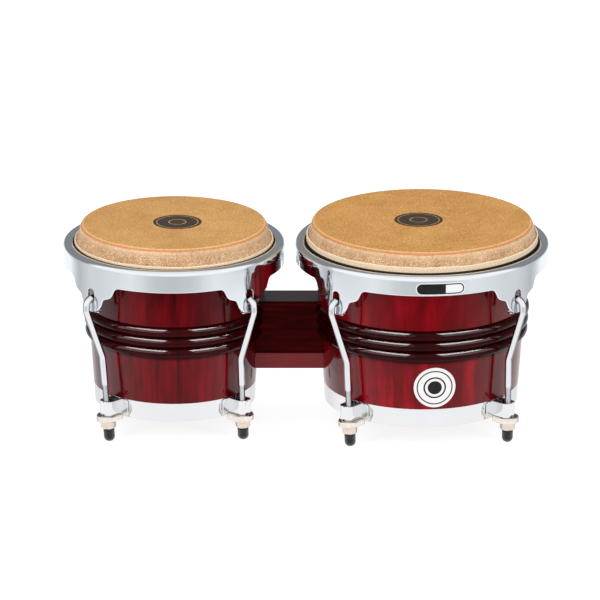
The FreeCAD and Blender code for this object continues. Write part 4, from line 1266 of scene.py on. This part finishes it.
MATERIALS = {
    # upper=0.80 paints shade on the small shell's upper part, under the rim
    "shell_small": stained_wood("stained_shell_small", deep=(0.073, 0.0005, 0.0022),
                                flame=(0.213, 0.0012, 0.0054), upper=0.80),
    "shell_large": stained_wood("stained_shell_large", deep=(0.118, 0.0006, 0.0027),
                                flame=(0.347, 0.0020, 0.0095), smoky=0.42),
    "ring": stained_wood("stained_ring_wood", deep=(0.021, 0.0003, 0.0009),
                         flame=(0.048, 0.0007, 0.0020), staves=False, gloss=0.05, spec=0.07),
    "block": dark_block_wood("dark_block_wood"),
    # the outline ramps paint shade on surfaces turned away
    "chrome": chrome("polished_chrome", bevel=0.0004,
                     outline=[(0.0, 1.0), (0.48, 1.0), (0.78, 0.72), (1.0, 0.52)]),
    "chrome_rod": chrome("rod_chrome", tint=(0.78, 0.79, 0.80), rough=0.08, outline=[
        (0.0, 1.0), (0.30, 1.0), (0.43, 0.52), (0.60, 0.14), (1.0, 0.10)]),
    "chrome_rim": chrome("rim_chrome", tint=(0.80, 0.825, 0.845), rough=0.07),
    "nickel": nickel("warm_nickel"),
    "nickel_nut": nickel("warm_nickel_nut", tint=(0.84, 0.73, 0.635), rough=0.18,
                         dark_top_z=0.0195),
    "zinc": satin_metal("zinc_plate", tint=(0.62, 0.62, 0.60), rough=0.28),
    "hoop": satin_metal("hoop_wire", tint=(0.50, 0.50, 0.50), rough=0.34),
    "brass": satin_metal("machined_brass", tint=(0.70, 0.50, 0.22), rough=0.24),
    "hide": hide("buffalo_hide"),
    "rubber": rubber("black_rubber"),
    "badge": badge_face("plain_badge"),
}


def cad_material(node):
    """Key of the material for a CAD piece."""
    if node.endswith("_shell"):
        return "shell_" + node.split("_")[0]
    if "_ring_" in node:
        return "ring"
    if node == "center_block":
        return "block"
    if node == "block_inserts":
        return "brass"
    if node in ("large_badge", "large_rim_label"):
        return "badge"
    # the first fragment found in the name decides
    for fragment, key in (("backing", "zinc"), ("bolts", "zinc"), ("hoop", "hoop"),
                          ("head_skin", "hide"), ("_tip_", "rubber"), ("_nut_", "nickel"),
                          ("washer", "nickel")):
        if fragment in node:
            return key
    return "chrome"


for node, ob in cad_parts.items():
    material = MATERIALS[cad_material(node)]
    slots = ob.data.materials
    if len(slots):
        for k in range(len(slots)):
            slots[k] = material
    else:
        slots.append(material)


# ------------------------------------------------------------------ pieces
def install(ob, material, replaces, ride=None, blend=None):
    """Gives a piece its material and hides the CAD piece it replaces; with ride it hangs the piece
    on that body, with blend it only bakes its place into the mesh.
    """
    ob.data.materials.clear()
    ob.data.materials.append(MATERIALS[material])
    for polygon in ob.data.polygons:
        polygon.material_index = 0
    if blend:
        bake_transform(ob)
    else:
        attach(ob, ride)
    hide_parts(replaces)


for drum in (SMALL, LARGE):
    rim = drum.name + "_rim"
    install(make_rim(drum), "chrome_rim", replaces=rim, ride=rim)
    install(make_skin(drum), "hide", replaces=drum.name + "_head_skin",
            blend=dict(to=rim, start=(0, 0, drum.head_z * MM - 0.0035),
                       end=(0, 0, drum.blend_z)))
    for i in range(1, 5):
        rod, nut = "%s_rod_%d" % (drum.name, i), "%s_nut_%d" % (drum.name, i)
        install(make_rod(drum, i), "chrome_rod", replaces=rod, ride=rod)
        install(make_nut(drum, i), "nickel_nut", replaces=nut, ride=nut)
        install(make_plate(drum, i), "nickel", replaces=drum.name + "_washer_plates",
                ride="root")
        install(make_bracket(drum, i), "chrome", replaces=drum.name + "_lug_brackets",
                ride="root")

# ------------------------------------------------------------------ floor
# how bright the room looks in reflections along each heading, in degrees:
# 0 towards the camera, 180 away from it
HEADING = [(0, 0.68), (16, 0.72), (24, 0.78), (34, 0.91), (45, 1.0), (60, 0.92), (80, 0.84),
           (95, 0.82), (105, 0.72), (115, 0.60), (124, 0.80), (134, 1.15), (180, 1.15)]
ROOM_GREY = (0.90, 0.925, 0.945)    # the room's low part, in reflections


def floor_material():
    """Pale floor. Reflections see it bright near the drums and graded by heading farther off."""
    n = Material("studio_floor")
    n.set(Base_Color=n.mix(n.noise(scale=3), (0.30, 0.30, 0.30), (0.33, 0.33, 0.33)),
          Roughness=0.9, IOR=1.2, Emission_Color=(1, 1, 1, 1), Emission_Strength=0.86)
    x, y, _, _ = n.drum_coords()
    toward = n.xyz(n.new("NewGeometry").outputs["Incoming"])
    heading = n.math(
        "DIVIDE", n.math("ARCTAN2", n.math("ABSOLUTE", toward[0]), toward[1]), math.pi)
    far = n.ramp(heading, [(degrees / 180.0, dim(ROOM_GREY, light))
                           for degrees, light in HEADING])
    distant = n.step(n.length(x, y), edge=0.36, width=0.2)
    glow = n.new("Emission")
    n.put(glow.inputs[0], n.mix(distant, (1.03, 1.03, 1.04), far))
    glow.inputs[1].default_value = 1.0
    n.put(n.out.inputs[0],
          n.mix_by_ray("Is Glossy Ray", n.bsdf.outputs[0], glow.outputs[0]))
    return n.mat


floor = link("floor", [(-2.6, -0.52, 0), (2.6, -0.52, 0), (2.6, 3.6, 0), (-2.6, 3.6, 0)],
             [(0, 1, 2, 3)], smooth=False, scale=1.0)
floor.data.materials.append(floor_material())


# ------------------------------------------------------------------ lights
def softbox(name, place, target, size, power):
    light = bpy.data.lights.new(name, "AREA")
    light.shape = "RECTANGLE"
    light.size, light.size_y = size
    light.energy = power
    light.color = (1, 1, 1)
    ob = bpy.data.objects.new(name, light)
    bpy.context.scene.collection.objects.link(ob)
    ob.location = place
    ob.rotation_euler = (Vector(target) - Vector(place)).to_track_quat("-Z", "Y").to_euler()
    return ob


def panel(name, azimuth, width, low, high, radiance, receivers):
    """Upright panel seen only in the receivers' reflections. Angles in degrees, as seen from
    0.1 m above the floor; azimuth runs from the front (-y) towards +x."""
    distance = 2.2
    yaw = math.radians(azimuth)
    low_h, high_h = (distance * math.tan(math.radians(a)) for a in (low, high))
    z = 0.1 + (low_h + high_h) / 2
    size = (2 * distance * math.tan(math.radians(width / 2)), high_h - low_h)
    ob = softbox(name, (distance * math.sin(yaw), -distance * math.cos(yaw), z), (0, 0, z),
                 size, power=radiance * math.pi * size[0] * size[1])
    ob.visible_diffuse = False
    ob.light_linking.receiver_collection = receivers


def collect(name, wanted):
    """A collection of the CAD pieces whose names pass."""
    collection = bpy.data.collections.new(name)
    for node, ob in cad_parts.items():
        if wanted(node):
            collection.objects.link(ob)
    return collection


# soft light from above and both sides of the camera, not seen in reflections
for name, spot, size, power in (
        ("overhead", (0, 0.25, 1.5), (1.8, 1.4), 16),
        ("left_front", (-1.15, -1.15, 0.75), (0.55, 1.0), 10),
        ("right_front", (1.25, -1.05, 0.75), (0.5, 1.0), 8)):
    softbox(name, spot, (0, 0, 0.1), size, power).visible_glossy = False

lacquered = collect("lacquered", lambda node: node == "center_block" or any(
    word in node for word in ("shell", "_ring_", "tip")))
turned = collect("turned_rings", lambda node: "_ring_" in node)
# the panels are highlights in lacquer and rubber; the high brows, apart in the middle, draw
# thin bright lines along the rings
for name, azimuth, width, low, high, radiance, receivers in (
        ("panel_left", -44, 76, 1, 48, 2.2, lacquered),
        ("panel_right", 50, 60, 1, 48, 2.2, lacquered),
        ("brow_left", -49, 68, 40, 64, 92, turned),
        ("brow_right", 56, 64, 40, 64, 92, turned),
        ("cheek_left", -49, 68, 2, 38, 8.0, turned),
        ("cheek_right", 56, 64, 2, 38, 8.0, turned)):
    panel(name, azimuth, width, low, high, radiance, receivers)


# ------------------------------------------------------------------ world
def make_world():
    """White to the camera; a softly graded room to everything else."""
    world = bpy.data.worlds.new("studio")
    bpy.context.scene.world = world
    world.use_nodes = True
    n = Nodes(world.node_tree)
    x, y, z = n.xyz(n.new("TexCoord").outputs["Generated"])

    def graded(value, stops, low=-1.0, high=1.0):
        stops = [((at - low) / (high - low), colour) for at, colour in stops]
        return n.ramp(n.remap(value, low, high), stops, "EASE")

    def background(colour):
        node = n.new("Background")
        n.put(node.inputs[0], colour)
        node.inputs[1].default_value = 1.0
        return node.outputs[0]

    # front half: light grey below the horizon, varied by heading, and paler above
    front = graded(z, [(-1, (0.80, 0.82, 0.84)), (-0.40, ROOM_GREY), (-0.22, ROOM_GREY),
                       (-0.04, (1.05, 1.06, 1.07)), (0.6, 1.10), (1, 0.95)])
    heading = n.math("ARCTAN2", n.math("ABSOLUTE", x), n.mul(y, -1.0))
    by_heading = graded(heading, [(math.radians(degrees), light) for degrees, light in HEADING],
                        low=0.0, high=math.pi)
    is_low = graded(z, [(-0.22, 1), (0.02, 0)])
    front = n.mix(is_low, front, by_heading, "MULTIPLY")
    # back half: a darker room under a bright ceiling
    back = graded(z, [(-1, 0.5), (-0.15, (0.85, 0.87, 0.88)), (0.0, (0.52, 0.54, 0.56)),
                      (0.14, (0.24, 0.255, 0.27)), (0.6, (0.25, 0.27, 0.29)),
                      (0.9, (0.26, 0.27, 0.29)), (1, 0.9)])
    room = n.mix(graded(y, [(-0.08, 0), (0.22, 1)]), front, back)
    shader = n.mix_by_ray("Is Camera Ray", background(room), background((1, 1, 1, 1)))
    n.put(n.new("OutputWorld").inputs[0], shader)


make_world()

# ------------------------------------------------------------------ camera
camera_data = bpy.data.cameras.new("camera")
camera_data.lens = 308.42
camera_data.sensor_width = 36
camera_data.clip_start, camera_data.clip_end = 0.1, 50
camera = bpy.data.objects.new("camera", camera_data)
bpy.context.scene.collection.objects.link(camera)
camera.location = (MIDDLE_X + 0.00184, -4.5, 1.5726)
camera.rotation_euler = (math.radians(72.05), 0, 0)
bpy.context.scene.camera = camera
bpy.context.scene.view_settings.view_transform = "Standard"
